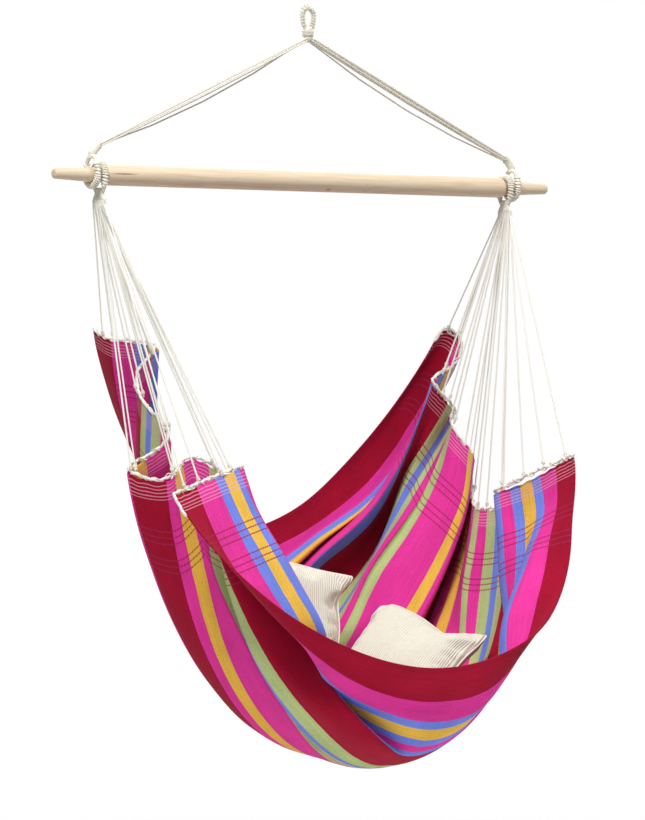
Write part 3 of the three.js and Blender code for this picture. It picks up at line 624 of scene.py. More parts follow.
@dataclass
class SeatCloth:
    """The gathered sheet between the two edge ropes. Sizes in millimetres, as in the source."""

    end_reach: float = 440
    end_depth: float = 350
    end_drop: float = 560
    bowl_depth: float = 660
    bowl_drop: float = 1065
    fold_fade: float = 0.9
    left_taut: tuple = ((0, 0.2), (0.75, 0.2), (1, 0.45))
    right_taut: tuple = ((0, 0.03), (0.2, 0.4), (1, 0.4))
    smoothing: float = 0.2
    smoothing_samples: int = 9
    thickness: float = 1.4
    hem_thickness: float = 2.6
    hem_width: float = 11
    cut_width: float = 1000
    columns: int = 168
    rows: int = 230
    end_crowding: float = 0.9
    rope_radius: float = 3
    cord_radius: float = 1.6
    rope_room: float = 1.3
    least_slope: float = 0.5
    room_gap: float = 0.2
    room_limits: tuple[float, float] = (0.15, 0.8)
    touch_gap: float = 0.35
    source_rows: int = 31
    scallops: int = 40
    scallop_depth: float = 0.2
    scallop_zone: float = 0.03
    # Slack waves: height in millimetres, then radians along, across and at the start.
    waves: tuple = ((0.9, 7.1, 19, 0.8), (0.63, -5.3, 31, 2.1), (0.405, 16, 47, 0))
    wave_fade: float = 0.15
    # Folds of the ends: share of the width, then shares outward, backward and downward.
    left_folds: tuple = (
        (0, 1.014, -0.684, 1.021), (0.183, 0.625, -0.559, 0.938), (0.25, 0.767, -0.56, 1.007),
        (0.32, 0.639, -0.449, 0.982), (0.405, 0.79, -0.403, 0.912), (0.47, 0.889, -0.361, 0.982),
        (0.535, 1.008, -0.225, 0.963), (0.573, 0.924, -0.24, 0.912), (0.633, 0.831, -0.291, 0.846),
        (0.742, 0.866, -0.085, 0.729), (0.817, 0.823, 0.017, 0.627), (0.86, 0.743, -0.009, 0.562),
        (0.901, 0.808, 0.098, 0.539), (0.941, 0.883, 0.184, 0.532), (1, 0.891, 0.328, 0.5),
    )
    right_folds: tuple = (
        (0, 0.973, -0.699, 0.907), (0.192, 0.844, -0.223, 1.032), (0.245, 0.956, -0.196, 1.05),
        (0.29, 0.944, -0.074, 1.087), (0.366, 0.921, 0.089, 1.086), (0.46, 0.997, 0.256, 1.012),
        (0.56, 0.916, 0.17, 0.905), (0.633, 0.878, 0.232, 0.816), (0.697, 0.954, 0.328, 0.779),
        (0.742, 0.885, 0.284, 0.729), (0.81, 0.785, 0.258, 0.661), (0.893, 0.981, 0.357, 0.596),
        (0.941, 1.005, 0.389, 0.512), (0.965, 0.95, 0.42, 0.484), (1, 0.889, 0.421, 0.529),
    )
    # The hanging middle: share of the width, then shares backward and downward.
    middle: tuple = (
        (0, -0.592, 0.822), (0.075, -0.588, 0.891), (0.16, -0.508, 0.955), (0.28, -0.341, 0.995),
        (0.4, -0.159, 0.997), (0.545, 0.045, 0.95), (0.705, 0.227, 0.852), (0.855, 0.341, 0.734),
        (1, 0.411, 0.607),
    )

    # Creases that the source leaves to this model. Each row is a share of the width, then places
    # along the cloth with a shift there: to the viewer's right, down and toward the viewer.
    pull_unit: float = 1.835
    pull_angle: float = -35
    pull_smoothing: tuple[int, int] = (3, 24)
    pulls: tuple = (
        (0, (-0.6, 0, -6, 0), (-0.4, 0, -5, 0), (0.2, 0, 3, 0), (0.4, 7, 5, 0), (0.8, -8, 0, 0)),
        (0.059, (-0.8, -8, 1, 0), (-0.4, 0, 4, -3), (-0.3, 0, 3, -3), (0.2, 2, 5, 0),
         (0.4, -2, 4, 2), (0.6, -11, 4, 4), (0.8, -8, 0, 3), (0.9, 1, 0, 1), (1, 4, 0, 0)),
        (0.099, (-0.8, 2, 0, 0), (-0.6, 2, 0, 0), (-0.4, -15, 0, -18), (-0.3, -14, 2, -16),
         (-0.2, 0, 2, -6), (0.2, 6, 5, 0), (0.4, 0, 4, 3), (0.6, -23, 0, 8), (0.8, -5, 0, 7),
         (0.9, 11, 0, 4), (1, 9, 0, 0)),
        (0.117, (-0.9, 3, 0, 0), (-0.8, 10, 0, 0), (-0.6, 10, 0, 0), (-0.5, -2, 0, -14),
         (-0.4, -18, 0, -26), (-0.3, -20, 0, -24), (-0.2, -5, 0, -12), (0.2, 4, 4, 0),
         (0.4, 0, 4, 0), (0.6, -20, 0, 0), (0.8, -3, 0, 0), (0.9, 12, 0, 2), (1, 9, 0, 0)),
        (0.141, (-0.9, 5, 0, 0), (-0.8, 13, 0, 0), (-0.6, 22, 0, 0), (-0.5, 2, 0, -12),
         (-0.4, -16, 0, -30), (-0.3, -13, 0, -28), (-0.2, -8, 0, -16), (-0.1, 3, 0, -4),
         (0.2, 3, 4, 0), (0.4, 4, 5, 0), (0.6, 0, 5, -8), (0.8, 14, 0, -4), (0.9, 13, 0, 0),
         (1, 10, 0, 0)),
        (0.159, (-0.9, 8, 0, 0), (-0.8, 22, 0, 3), (-0.6, 34, 0, 3), (-0.5, 10, 0, -10),
         (-0.4, -10, 0, -26), (-0.3, -7, 0, -24), (-0.2, -4, 0, -14), (-0.1, 1, 0, -4),
         (0.2, 5, 3, 0), (0.4, 10, 6, 0), (0.6, 8, 10, -11), (0.8, 12, 0, -4), (0.9, 11, 0, 0),
         (1, 6, 0, 0)),
        (0.183, (-0.9, 5, 0, -8), (-0.8, 18, 0, -22), (-0.6, 26, 0, -22), (-0.4, -4, 0, -10),
         (-0.3, -1, 0, -8), (-0.1, 3, 0, 0), (0.2, 10, 2, 0), (0.4, 20, 6, -5), (0.6, 28, 10, -11),
         (0.8, 8, 0, -5), (0.9, 5, 0, 0), (1, 3, 0, 0)),
        (0.201, (-0.9, 3, 0, -8), (-0.8, 8, 0, -28), (-0.6, 12, 0, -12), (-0.5, 12, 0, 6),
         (-0.4, 16, 0, 23), (-0.3, 19, 0, 28), (-0.2, 17, 0, 26), (-0.1, 9, 0, 14), (0.2, 12, 2, 0),
         (0.4, 22, 6, -8), (0.6, 30, 12, -14), (0.8, 6, 0, -8), (0.9, 3, 0, 0)),
        (0.23, (-0.6, 6, 0, -6), (-0.5, 8, 0, 4), (-0.4, 12, -2, 20), (-0.3, 14, -2, 22),
         (-0.2, 12, -2, 18), (-0.1, 6, 0, 8), (0.2, 10, 2, 0), (0.4, 14, 4, -4), (0.6, 15, 6, -7),
         (0.8, 3, 0, -4)),
        (0.258, (-0.9, -10, 6, 0), (-0.8, -5, 2, 0), (-0.5, 4, -3, 4), (-0.4, 6, -6, 6),
         (-0.3, 6, -6, 6), (-0.2, 4, -4, 4), (0.2, 8, 2, 0), (0.4, 6, 2, 0)),
        (0.28, (-0.8, -15, 0, 3), (-0.6, -15, 0, 3), (-0.4, -6, 0, 0), (0.6, 12, 0, 0),
         (0.8, 5, 0, 0)),
        (0.297, (-0.8, -15, 0, 4), (-0.6, -16, 0, 0), (-0.4, -10, 0, -6), (-0.3, -8, 0, -6),
         (-0.2, -3, 0, -3), (0.6, 12, 0, 0), (0.8, 5, 0, 0)),
        (0.32, (-0.8, -12, 0, -8), (-0.6, -10, 0, -16), (-0.4, -6, 0, -20), (-0.3, -5, 0, -16),
         (-0.2, -2, 0, -6), (0.6, 12, 0, 0), (0.8, 3, 0, 0)),
        (0.344, (-0.8, -11, 0, -4), (-0.6, 0, 0, -8), (-0.4, 6, 0, -8), (-0.3, 6, 0, -6),
         (0.6, 13, 0, 0), (0.8, -2, 0, 0)),
        (0.367, (-0.8, -14, 0, 4), (-0.6, 3, 0, 10), (-0.5, 6, 0, 14), (-0.4, 10, 0, 16),
         (-0.3, 9, 0, 14), (-0.2, 4, 0, 6), (0.6, 14, 0, 0), (0.8, -2, 0, 0)),
        (0.427, (-0.8, 10, 0, 0), (-0.6, 6, 0, 0), (0.6, 9, 0, 0), (0.8, 6, 1, 0)),
        (0.45, (-0.8, 6, 0, 0), (-0.6, 4, 0, 0), (0.6, 3, 0, -5), (0.8, 4, 1, -5)),
        (0.47, (-0.8, 2, 0, 0), (-0.6, 2, 0, 0), (0.4, 0, 0, -22), (0.6, 1, -4, -42),
         (0.8, 0, 0, -38), (0.9, 0, 0, -22)),
        (0.5, (-0.8, 7, 0, 0), (-0.6, 9, 0, 0), (-0.4, 8, 0, 0), (0.4, 1, 0, -30), (0.6, 2, 0, -56),
         (0.8, 2, 0, -52), (0.9, 3, 0, -26), (1, 3, 0, 0)),
        (0.53, (-0.8, 11, 0, 0), (-0.6, 14, 0, 0), (-0.4, 14, 0, 0), (-0.2, 4, 0, 0),
         (0.4, 2, 0, 8), (0.6, 6, 3, 12), (0.8, 11, 4, 10), (0.9, 12, 2, 6), (1, 7, -3, 0)),
        (0.574, (-0.8, 8, 0, 0), (-0.6, 14, 0, 0), (-0.4, 18, 0, 0), (-0.2, 10, 0, 0),
         (0.6, 1, 0, 3), (0.8, 8, 5, 4), (0.9, 13, 4, 3), (1, 5, 0, 0)),
        (0.634, (-0.6, 6, 0, 0), (-0.4, 14, 0, 0), (-0.2, 10, 0, 0), (0.4, -3, 0, 0),
         (0.6, -13, -9, 3), (0.8, -2, 0, 0), (0.9, 3, 0, 0)),
        (0.645, (0.4, -5, -2, -5), (0.6, -16, -11, -12), (0.8, -3, -2, -12), (0.9, 1, 0, -6)),
        (0.656, (0.4, -6, -3, 0), (0.6, -18, -13, 5), (0.8, -4, -3, 3)),
        (0.68, (0.4, -8, -4, 3), (0.6, -18, -13, 11), (0.8, -10, -6, 3), (0.9, -4, -3, 0)),
        (0.704, (0.4, -4, -4, -3), (0.6, -10, -11, 3), (0.8, -10, -8, 3), (0.9, -5, -5, 0)),
        (0.72, (0.4, 0, -2, -8), (0.6, -3, -11, -11), (0.8, -14, -10, 3), (0.9, -6, -6, 0)),
        (0.742, (0.4, 0, -2, -34), (0.6, 7, -4, -46), (0.8, -11, -6, -14), (0.9, -6, -4, 0)),
        (0.775, (0.2, 0, 0, -12), (0.4, 0, -10, -44), (0.6, 11, -5, -52), (0.8, -3, 0, -24)),
        (0.799, (0.2, 0, 0, -8), (0.4, 0, -18, -30), (0.6, 15, -6, -34), (0.8, 4, 4, -16)),
        (0.817, (0.4, 0, -21, 6), (0.6, 11, -10, 6), (0.8, 4, 6, 0)),
        (0.835, (0.4, 0, -18, -22), (0.6, 8, -8, -8), (0.8, 0, 0, -5)),
        (0.851, (0.2, 0, -6, -12), (0.4, 0, -20, -34), (0.6, 4, -3, -22), (0.8, 0, 0, -8)),
        (0.862, (0.4, 0, -17, 8), (0.6, 2, 1, -4), (0.8, 0, 0, -8)),
        (0.883, (0.4, -1, -11, 6), (0.6, 2, 6, -2), (0.8, 0, 0, -3)),
        (0.901, (0.4, -1, -8, 0), (0.6, 1, 6, 0)),
        (0.941, (0.6, 6, 12, 0), (0.8, 4, 0, 0), (0.9, 1, 0, 0)),
        (1, (0.4, 0, 7, 0), (0.6, 0, 2, 0)),
    )

    def along_table(self, table: tuple, share: float) -> Points:
        """Follows a smooth line through a table's rows.

        Args:
            table: Rows of a share and its values.
            share: Where on the line.

        Returns:
            The values there.
        """
        row = 1
        while row < len(table) - 1 and share > table[row][0]:
            row += 1
        picked = [table[min(max(i, 0), len(table) - 1)] for i in range(row - 2, row + 2)]
        before, start, end, after = np.array(picked)
        t = (share - start[0]) / (end[0] - start[0])
        slope_in, slope_out = (end - before)[1:] / 2, (after - start)[1:] / 2
        rise = (end - start)[1:]
        bend = t * t * (3 * rise - 2 * slope_in - slope_out)
        return start[1:] + t * slope_in + bend + t**3 * (slope_in + slope_out - 2 * rise)

    def end_point(self, sign: int, share: float) -> Points:
        """Gives a point on a gathered end.

        Args:
            sign: Minus one for the left end, one for the right.
            share: Share of the cloth's width, from the front hem.

        Returns:
            The point in millimetres.
        """
        table = self.left_folds if sign < 0 else self.right_folds
        out, back, down = self.along_table(table, share)
        height = -BAR_DROP - down * self.end_drop
        return np.array([sign * out * self.end_reach, back * self.end_depth, height])

    def smooth_end_point(self, sign: int, share: float) -> Points:
        """Gives a point on a gathered end without its folds.

        Args:
            sign: Minus one for the left end, one for the right.
            share: Share of the cloth's width, from the front hem.

        Returns:
            The point in millimetres.
        """
        half = min(share, 1 - share, self.smoothing)
        samples = np.linspace(-half, half, self.smoothing_samples)
        return np.mean([self.end_point(sign, share + offset) for offset in samples], axis=0)

    def rope_route(self, sign: int) -> tuple[Points, Points]:
        """Finds where an edge rope runs, just above the end of the cloth.

        Args:
            sign: Minus one for the left end, one for the right.

        Returns:
            The cloth's end and the rope, one point per row of the source's cloth.
        """
        shares = np.linspace(0, 1, self.source_rows + 1)
        edge = np.array([self.end_point(sign, share) for share in shares])
        rises = unit(np.array([sign * FAN_X, 0, -BAR_DROP - FAN_DROP]) - edge)
        steps = unit(np.diff(edge, axis=0))
        ahead = np.linalg.norm(np.cross(steps, rises[:-1]), axis=1)
        behind = np.linalg.norm(np.cross(steps, rises[1:]), axis=1)
        least = np.minimum(np.append(ahead, 1), np.append(1, behind))
        reach = self.rope_radius + self.touch_gap + 2 * self.cord_radius + self.rope_room
        return edge, edge + rises * (reach / np.maximum(least, self.least_slope))[:, None]

    def rope_room_share(self, sign: int) -> Points:
        """Finds how much of the gap to its rope the cloth may fill.

        Args:
            sign: Minus one for the left end, one for the right.

        Returns:
            A share of the gap for each row of the rope's route.
        """
        edge, route = self.rope_route(sign)
        gap = np.linalg.norm(np.cross(unit(np.gradient(edge, axis=0)), route - edge), axis=1)
        return np.clip(1 - (self.rope_radius + self.room_gap) / gap, *self.room_limits)

    def scallop(self, alongs: Points, shares: Points) -> Points:
        """Draws both ends up to their rope in small arcs.

        Args:
            alongs: Places from -1 at the left end to 1 at the right one.
            shares: Shares of the width, from the front hem.

        Returns:
            The shift of every point, in millimetres.
        """
        shift = np.zeros((len(shares), len(alongs), 3))
        rows = np.linspace(0, 1, self.source_rows + 1)
        arc = 1 + self.scallop_depth * (np.cos(FULL_TURN * self.scallops * shares) - 1)
        for sign in (-1, 1):
            edge, route = self.rope_route(sign)
            filled = arc * np.interp(shares, rows, self.rope_room_share(sign))
            reach = np.stack([np.interp(shares, rows, (route - edge)[:, k]) for k in range(3)], 1)
            near = np.clip((alongs * sign - 1 + self.scallop_zone) / self.scallop_zone, 0, 1)
            shift += (filled[:, None] * reach)[:, None, :] * near[None, :, None]
        return shift

    def middle_point(self, share: float) -> Points:
        """Gives a point of the hanging middle line, at a share of the width."""
        back, down = self.along_table(self.middle, share)
        return np.array([0.0, back * self.bowl_depth, -BAR_DROP - down * self.bowl_drop])

    def grid(self, alongs: Points, shares: Points) -> Points:
        """Lays the cloth out as a grid of points.

        Args:
            alongs: Places from -1 at the left end to 1 at the right one.
            shares: Shares of the width, from the front hem.

        Returns:
            Points in millimetres, one row per share.
        """
        grid = np.zeros((len(shares), len(alongs), 3))
        angle = math.pi / 2 * np.abs(alongs)
        hang = np.cos(angle)[:, None]
        for j, share in enumerate(shares):
            middle = self.middle_point(share)
            for sign, table in ((-1, self.left_taut), (1, self.right_taut)):
                chosen = alongs < 0 if sign < 0 else alongs >= 0
                smooth = self.smooth_end_point(sign, share)
                taut = self.along_table(table, share)[0]
                line = middle * hang + smooth * (1 - hang)
                line[:, 0] = smooth[0] * (taut * (1 - hang[:, 0]) + (1 - taut) * np.sin(angle))
                fold = self.end_point(sign, share) - smooth
                line += fold * (np.abs(alongs) ** self.fold_fade)[:, None]
                grid[j, chosen] = line[chosen]
        return grid

    def creases(self, alongs: Points, shares: Points) -> Points:
        """Spreads the pulls smoothly over the cloth.

        Args:
            alongs: Places from -1 at the left end to 1 at the right one.
            shares: Shares of the width, from the front hem.

        Returns:
            The shift of every point, in millimetres.
        """
        still = {place: (0, 0, 0) for place in (-1, 0, 1)}
        rows = []
        for _, *steps in self.pulls:
            places, shifts = zip(*sorted((still | {at: tuple(by) for at, *by in steps}).items()))
            rows.append([np.interp(alongs, places, shift) for shift in zip(*shifts)])
        rows, places = np.array(rows), [row[0] for row in self.pulls]
        field = np.apply_along_axis(lambda values: np.interp(shares, places, values), 0, rows)
        field = field.transpose(0, 2, 1)
        for axis, passes in enumerate(self.pull_smoothing):
            spots = np.arange(field.shape[axis])
            for _ in range(passes):
                before = np.take(field, np.maximum(spots - 1, 0), axis)
                after = np.take(field, np.minimum(spots + 1, spots[-1]), axis)
                field = (before + 2 * field + after) / 4
        turn = math.radians(self.pull_angle)
        right, near = (math.cos(turn), math.sin(turn), 0), (math.sin(turn), -math.cos(turn), 0)
        return self.pull_unit * field @ np.array([right, (0, 0, -1), near])

    def relief(self, alongs: Points, shares: Points) -> Points:
        """Small slack waves of the cloth, which stay flat at its hems and its ends.

        Args:
            alongs: Places along the cloth, from -1 to 1.
            shares: Shares of its width.

        Returns:
            How far each grid point stands off, in millimetres.
        """
        u, v = np.meshgrid(alongs, shares)
        waves = sum(high * np.sin(a * u + b * v + start) for high, a, b, start in self.waves)
        return waves * np.clip((1 - np.abs(u)) / self.wave_fade, 0, 1)

    def build(self) -> Piece:
        """Builds the cloth as one closed thin sheet with hems along both long sides.

        Returns:
            The cloth, with its UV maps: cut from one end, and ends from the nearer end.
        """
        spread = np.linspace(-1, 1, self.columns + 1) * math.pi / 2 * self.end_crowding
        alongs = np.sin(spread) / math.sin(spread[-1])
        shares = np.linspace(0, 1, self.rows + 1)
        points = self.grid(alongs, shares) + self.creases(alongs, shares)
        normals = unit(np.cross(np.gradient(points, axis=1), np.gradient(points, axis=0)))
        points += normals * self.relief(alongs, shares)[:, :, None]
        steps = np.linalg.norm(np.diff(points, axis=1), axis=2)
        reach = np.hstack([np.zeros((len(shares), 1)), np.cumsum(steps, axis=1)])
        points += self.scallop(alongs, shares)
        across = np.repeat(shares[:, None] * self.cut_width, len(alongs), axis=1)
        in_hem = np.minimum(across, self.cut_width - across) < self.hem_width
        half = normals * np.where(in_hem, self.hem_thickness, self.thickness)[:, :, None] / 2
        vertices = np.concatenate([(points - half).reshape(-1, 3), (points + half).reshape(-1, 3)])
        count = across.size
        index = np.arange(count).reshape(across.shape)
        quads = grid_quads(index)
        rim = np.concatenate([index[0], index[1:, -1], index[-1, -2::-1], index[-2:0:-1, 0]])
        ahead = np.roll(rim, -1)
        band = np.stack([rim, ahead, ahead + count, rim + count], axis=1)
        faces = np.concatenate([quads[:, ::-1], quads + count, band])
        corners = faces.ravel() % count
        nearer = np.minimum(reach, reach[:, -1:] - reach)
        maps = {
            name: np.stack([distance.ravel(), across.ravel()], axis=1)[corners]
            for name, distance in (("cut", reach), ("ends", nearer))
        }
        self.cut_length = float(reach[:, -1].mean())
        return smooth_mesh("striped_seat_cloth", vertices * MM, faces.tolist(), maps)

    def place(self, finish: StripedCottonWeave) -> Piece:
        """Builds, dresses and seats the cloth.

        Args:
            finish: The weave.

        Returns:
            The cloth.
        """
        cloth = self.build()
        seat(cloth, finish.material(), "seat", "seat_cloth")
        return cloth


@dataclass
class EdgeRope:
    """A rope along a gathered end of the cloth, with the knots of the cords that hold it."""

    cloth: SeatCloth
    side: str
    sign: int
    radius: float = 2.7
    lay: float = 13
    tail: float = 4
    wander: float = 0.7
    hanging_end: float = 0
    hanging_samples: int = 6
    loops: int = 40
    loop_steps: int = 10
    loop_wire: float = 1.1
    loop_dip: float = 2.6
    loop_look: float = 0.004
    cord_spread: float = 22
    knot_wire: float = 1.35
    knot_rise: float = 5
    knot_turns: float = 2.5
    knot_steps: int = 12
    knot_taper: float = 0.2
    knot_pitch: float = 2.295
    # For each cord its share of the cloth's width, and its share of the greatest spread.
    cord_places: tuple = ()

    def route_point(self, route: Points, share: float) -> Points:
        """Gives a place on the rope, or on the cloth's end.

        Args:
            route: Its points, evenly spread over the cloth's width.
            share: Share of the cloth's width, from the front hem.

        Returns:
            The place in millimetres.
        """
        rows = len(route) - 1
        row = min(int(share * rows), rows - 1)
        return route[row] + (route[row + 1] - route[row]) * (share * rows - row)

    def legs(self, number: int, route: Points) -> list[tuple]:
        """Finds where the two legs of a cord leave the rope.

        Args:
            number: Number of the cord, from zero.
            route: The rope's points.

        Returns:
            For each leg its foot and its direction upward.
        """
        share, spread = self.cord_places[number]
        half = spread * self.cord_spread / self.cloth.cut_width
        ends = [self.route_point(route, share + way * half) for way in (-1, 1)]
        along = unit(ends[1] - ends[0])
        back = (number - (len(self.cord_places) - 1) / 2) * CORD_PITCH
        top = np.array([self.sign * FAN_X, back, -BAR_DROP - FAN_DROP])
        lift = top - self.route_point(route, share)
        outward = np.cross(unit(lift - along * np.dot(lift, along)), along)
        outward *= 1 if outward[0] >= 0 else -1
        reach = self.cloth.rope_radius + self.cloth.touch_gap + self.cloth.cord_radius
        found = []
        for end, way in zip(ends, (1, -1)):
            foot = end + outward * reach * way
            found.append((foot, unit(top + np.array([way * CORD_PITCH / 2, 0, 0]) - foot)))
        return found

    def knot(self, name: str, foot: Points, rise: Points) -> Piece:
        """Winds a small knot round one leg of a cord, just over the rope.

        Args:
            name: The knot's name.
            foot: Where the leg leaves the rope.
            rise: The leg's direction.

        Returns:
            The knot.
        """
        side = unit(np.cross(rise, [0.2, 1.0, 0.1]))
        steps = np.arange(int(self.knot_turns * self.knot_steps) + 1)
        turns = steps / self.knot_steps
        taper = 1 - self.knot_taper * steps / len(steps)
        wide = (self.cloth.cord_radius + 0.75 * self.knot_wire) * taper
        line = foot + np.outer(wide * np.cos(FULL_TURN * turns), side)
        line += np.outer(wide * np.sin(FULL_TURN * turns), np.cross(rise, side))
        line += np.outer(self.knot_rise + self.knot_pitch * turns, rise)
        return swept_tube(name, smooth_line(line, step=1.2), self.knot_wire, sides=7)

    def hanging(self, first: Points) -> Points:
        """Lets the rope's front end hang down along the cloth's hem.

        Args:
            first: Where the rope leaves the cloth's end.

        Returns:
            Points from the loose tip up to the rope, or none.
        """
        if not self.hanging_end:
            return np.zeros((0, 3))
        alongs = self.sign * np.linspace(0.93, 0.998, self.hanging_samples)
        hem, inner = self.cloth.grid(alongs, np.array([0.0, 0.03]))
        points = hem + unit(hem - inner) * 2 * self.radius - (0, 1.5 * self.radius, 0)
        far = np.linalg.norm(points - first, axis=1)
        return points[(far < self.hanging_end) & (far > 3 * self.radius)]

    def binding(self, edge: Points, route: Points) -> Piece:
        """Winds the thin cord that ties the cloth's end to its rope.

        Args:
            edge: The cloth's end, one point per row of the source's cloth.
            route: The rope's points.

        Returns:
            The cord.
        """
        points = []
        wide = self.radius + 0.6 * self.loop_wire
        for share in np.linspace(0, 1, self.loops * self.loop_steps + 1):
            centre = self.route_point(route, share)
            ahead = self.route_point(route, min(share + self.loop_look, 1))
            behind = self.route_point(route, max(share - self.loop_look, 0))
            down = unit(self.route_point(edge, share) - centre)
            across = unit(np.cross(ahead - behind, down))
            angle = FULL_TURN * self.loops * share
            low = wide + self.loop_dip * max(math.cos(angle), 0) ** 2
            points.append(centre + down * low * math.cos(angle) + across * wide * math.sin(angle))
        line = smooth_line(np.array(points), step=1.4)
        return swept_tube(f"binding_cord_{self.side}", line, self.loop_wire, sides=7)

    def place(self, rope: Material, wound: Material) -> None:
        """Builds, dresses and seats the rope and its knots.

        Args:
            rope: Material of the rope.
            wound: Material of the knots.
        """
        edge, route = self.cloth.rope_route(self.sign)
        first, last = (a + unit(a - b) * self.tail for a, b in (route[:2], route[:-3:-1]))
        step = 2.0
        line = smooth_line(np.vstack([self.hanging(first), first, route, last]), step)
        reach = np.arange(len(line)) * step
        sways = [np.sin(reach / 3.1), np.sin(reach / 2.3 + 1), np.sin(reach / 2.7 + 2)]
        line += self.wander * np.stack(sways, axis=1)
        name = f"twisted_edge_rope_{self.side}"
        piece = swept_tube(name, line, self.radius, sides=15, lobes=3, lay=self.lay)
        seat(piece, rope, "seat", f"edge_rope_{self.side}")
        seat(self.binding(edge, route), wound, "seat")
        for number in range(len(self.cord_places)):
            for leg, (foot, rise) in enumerate(self.legs(number, route), 1):
                knot = self.knot(f"cord_knot_{self.side}_{number + 1}_{leg}", foot, rise)
                seat(knot, wound, "seat")


def places_of(piece: Piece) -> Points:
    """Gives the places of a piece's points."""
    return np.array([point.co for point in piece.data.vertices])


def move_to(piece: Piece, places: Points) -> None:
    """Moves a piece's points to new places."""
    piece.data.vertices.foreach_set("co", places.astype(np.float32).ravel())
    piece.data.update()


@dataclass
class Pillow:
    """A loose pillow: two ribbed panels sewn round their edge and filled."""

    side: str
    turns: tuple[float, float, float]
    width: float = 236
    height: float = 214
    thickness: float = 84
    pull: float = 0.07
    corner_pull: float = 0.03
    corner_power: int = 8
    crown_power: float = 0.9
    columns: int = 52
    rows: int = 46
    start_share: float = 0.93
    swell_frames: int = 20
    swell_limit: float = 9
    seam_radius: float = 1.5
    seam_samples: int = 40
    # Where the filling has settled: place on the pillow, reach of the dent, and its shift.
    dents: tuple = ()

    def rim(self, a: Points, b: Points) -> Points:
        """Gives places on the pillow's seam plane.

        Args:
            a: Shares of the half width, from -1 to 1.
            b: Shares of the half height, from -1 to 1.

        Returns:
            Points in millimetres, with Z at zero.
        """
        corner = 1 - self.corner_pull * (a * b) ** self.corner_power
        x = self.width / 2 * a * (1 - self.pull * (1 - b * b)) * corner
        y = self.height / 2 * b * (1 - self.pull * (1 - a * a)) * corner
        return np.stack([x, y, np.zeros_like(x)], axis=-1)

    def build(self) -> Piece:
        """Builds the closed pillow about its own centre.

        Returns:
            The pillow, with the UV map cut in millimetres.
        """
        a, b = np.meshgrid(np.linspace(-1, 1, self.columns + 1), np.linspace(-1, 1, self.rows + 1))
        crown = np.sqrt(np.clip((1 - a**2) * (1 - b**2), 0, None)) ** self.crown_power
        lift = (self.thickness * crown / 2 * self.start_share)[:, :, None] * np.array([0, 0, 1])
        flat, index = self.rim(a, b), np.arange(a.size).reshape(a.shape)
        on_rim = (np.abs(a) == 1) | (np.abs(b) == 1)
        both = np.stack([index, np.where(on_rim, index, index + a.size)])
        kept, numbers = np.unique(both, return_inverse=True)
        upper, lower = numbers.reshape(both.shape)
        faces = np.concatenate([grid_quads(upper), grid_quads(lower)[:, ::-1]])
        vertices = np.concatenate([(flat + lift).reshape(-1, 3), (flat - lift).reshape(-1, 3)])
        vertices = vertices[kept]
        places = {"cut": vertices[faces.ravel()][:, :2]}
        pillow = smooth_mesh(f"ribbed_pillow_{self.side}", vertices * MM, faces.tolist(), places)
        group = pillow.vertex_groups.new(name="seam")
        group.add(upper[on_rim].tolist(), 1.0, "REPLACE")
        return pillow

    def swell(self, pillow: Piece) -> None:
        """Fills the pillow with Blender's cloth, its seam held, so that it crowns and puckers.

        Args:
            pillow: The pillow, about its own centre.
        """
        modifier = pillow.modifiers.new("filling", "CLOTH")
        for name, value in (
            ("quality", 5),
            ("mass", 0.2),
            ("tension_stiffness", 12),
            ("compression_stiffness", 12),
            ("shear_stiffness", 4),
            ("bending_stiffness", 0.15),
            ("use_pressure", True),
            ("uniform_pressure_force", 4),
            ("shrink_min", -0.05),
            ("vertex_group_mass", "seam"),
        ):
            setattr(modifier.settings, name, value)
        modifier.settings.effector_weights.gravity = 0
        modifier.point_cache.frame_start = 1
        modifier.point_cache.frame_end = self.swell_frames
        scene = bpy.context.scene
        rest = places_of(pillow)
        for number in range(1, self.swell_frames + 1):
            scene.frame_set(number)
        swollen = places_of(pillow.evaluated_get(bpy.context.evaluated_depsgraph_get()))
        pillow.modifiers.remove(modifier)
        scene.frame_set(1)
        moved = swollen - rest
        length = np.maximum(np.linalg.norm(moved, axis=1), 1e-9)[:, None]
        move_to(pillow, rest + moved * np.minimum(1, self.swell_limit * MM / length))

    def settle(self, piece: Piece, spot: Matrix) -> None:
        """Moves a piece of the pillow to its place and dents it.

        Args:
            piece: The piece, about the pillow's own centre.
            spot: Where the pillow lies.
        """
        places = places_of(piece) / MM
        a, b = places[:, 0] / self.width * 2, places[:, 1] / self.height * 2
        piece.data.transform(spot)
        moved = places_of(piece)
        for at_a, at_b, reach_a, reach_b, *shift in self.dents:
            share = np.exp(-(((a - at_a) / reach_a) ** 2) - ((b - at_b) / reach_b) ** 2)
            moved += share[:, None] * np.array(shift) * MM
        move_to(piece, moved)

    def place(self, cover: Material) -> None:
        """Builds, fills, dresses and seats the pillow where the CAD one lies.

        Args:
            cover: Material of the cover.
        """
        node = f"pillow_{self.side}"
        pillow = self.build()
        self.swell(pillow)
        low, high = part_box(node)
        turn = Euler([math.radians(angle) for angle in self.turns], "XYZ").to_matrix().to_4x4()
        spot = Matrix.Translation((low + high) / 2) @ turn
        way, one = np.linspace(-1, 1, self.seam_samples), np.ones(self.seam_samples)
        sides = ((way, -one), (one, way), (way[::-1], one), (-one, way[::-1]))
        loop = np.concatenate([self.rim(a, b) for a, b in sides])
        # Each corner comes twice, so a point goes out where it repeats the one before.
        loop = loop[np.append(True, np.linalg.norm(np.diff(loop, axis=0), axis=1) > 0.01)]
        line = smooth_line(loop, step=2.5)
        seam = swept_tube(f"pillow_seam_{self.side}", line, self.seam_radius, sides=8)
        for piece, replaced in ((pillow, node), (seam, "")):
            self.settle(piece, spot)
            seat(piece, cover, node, replaced)


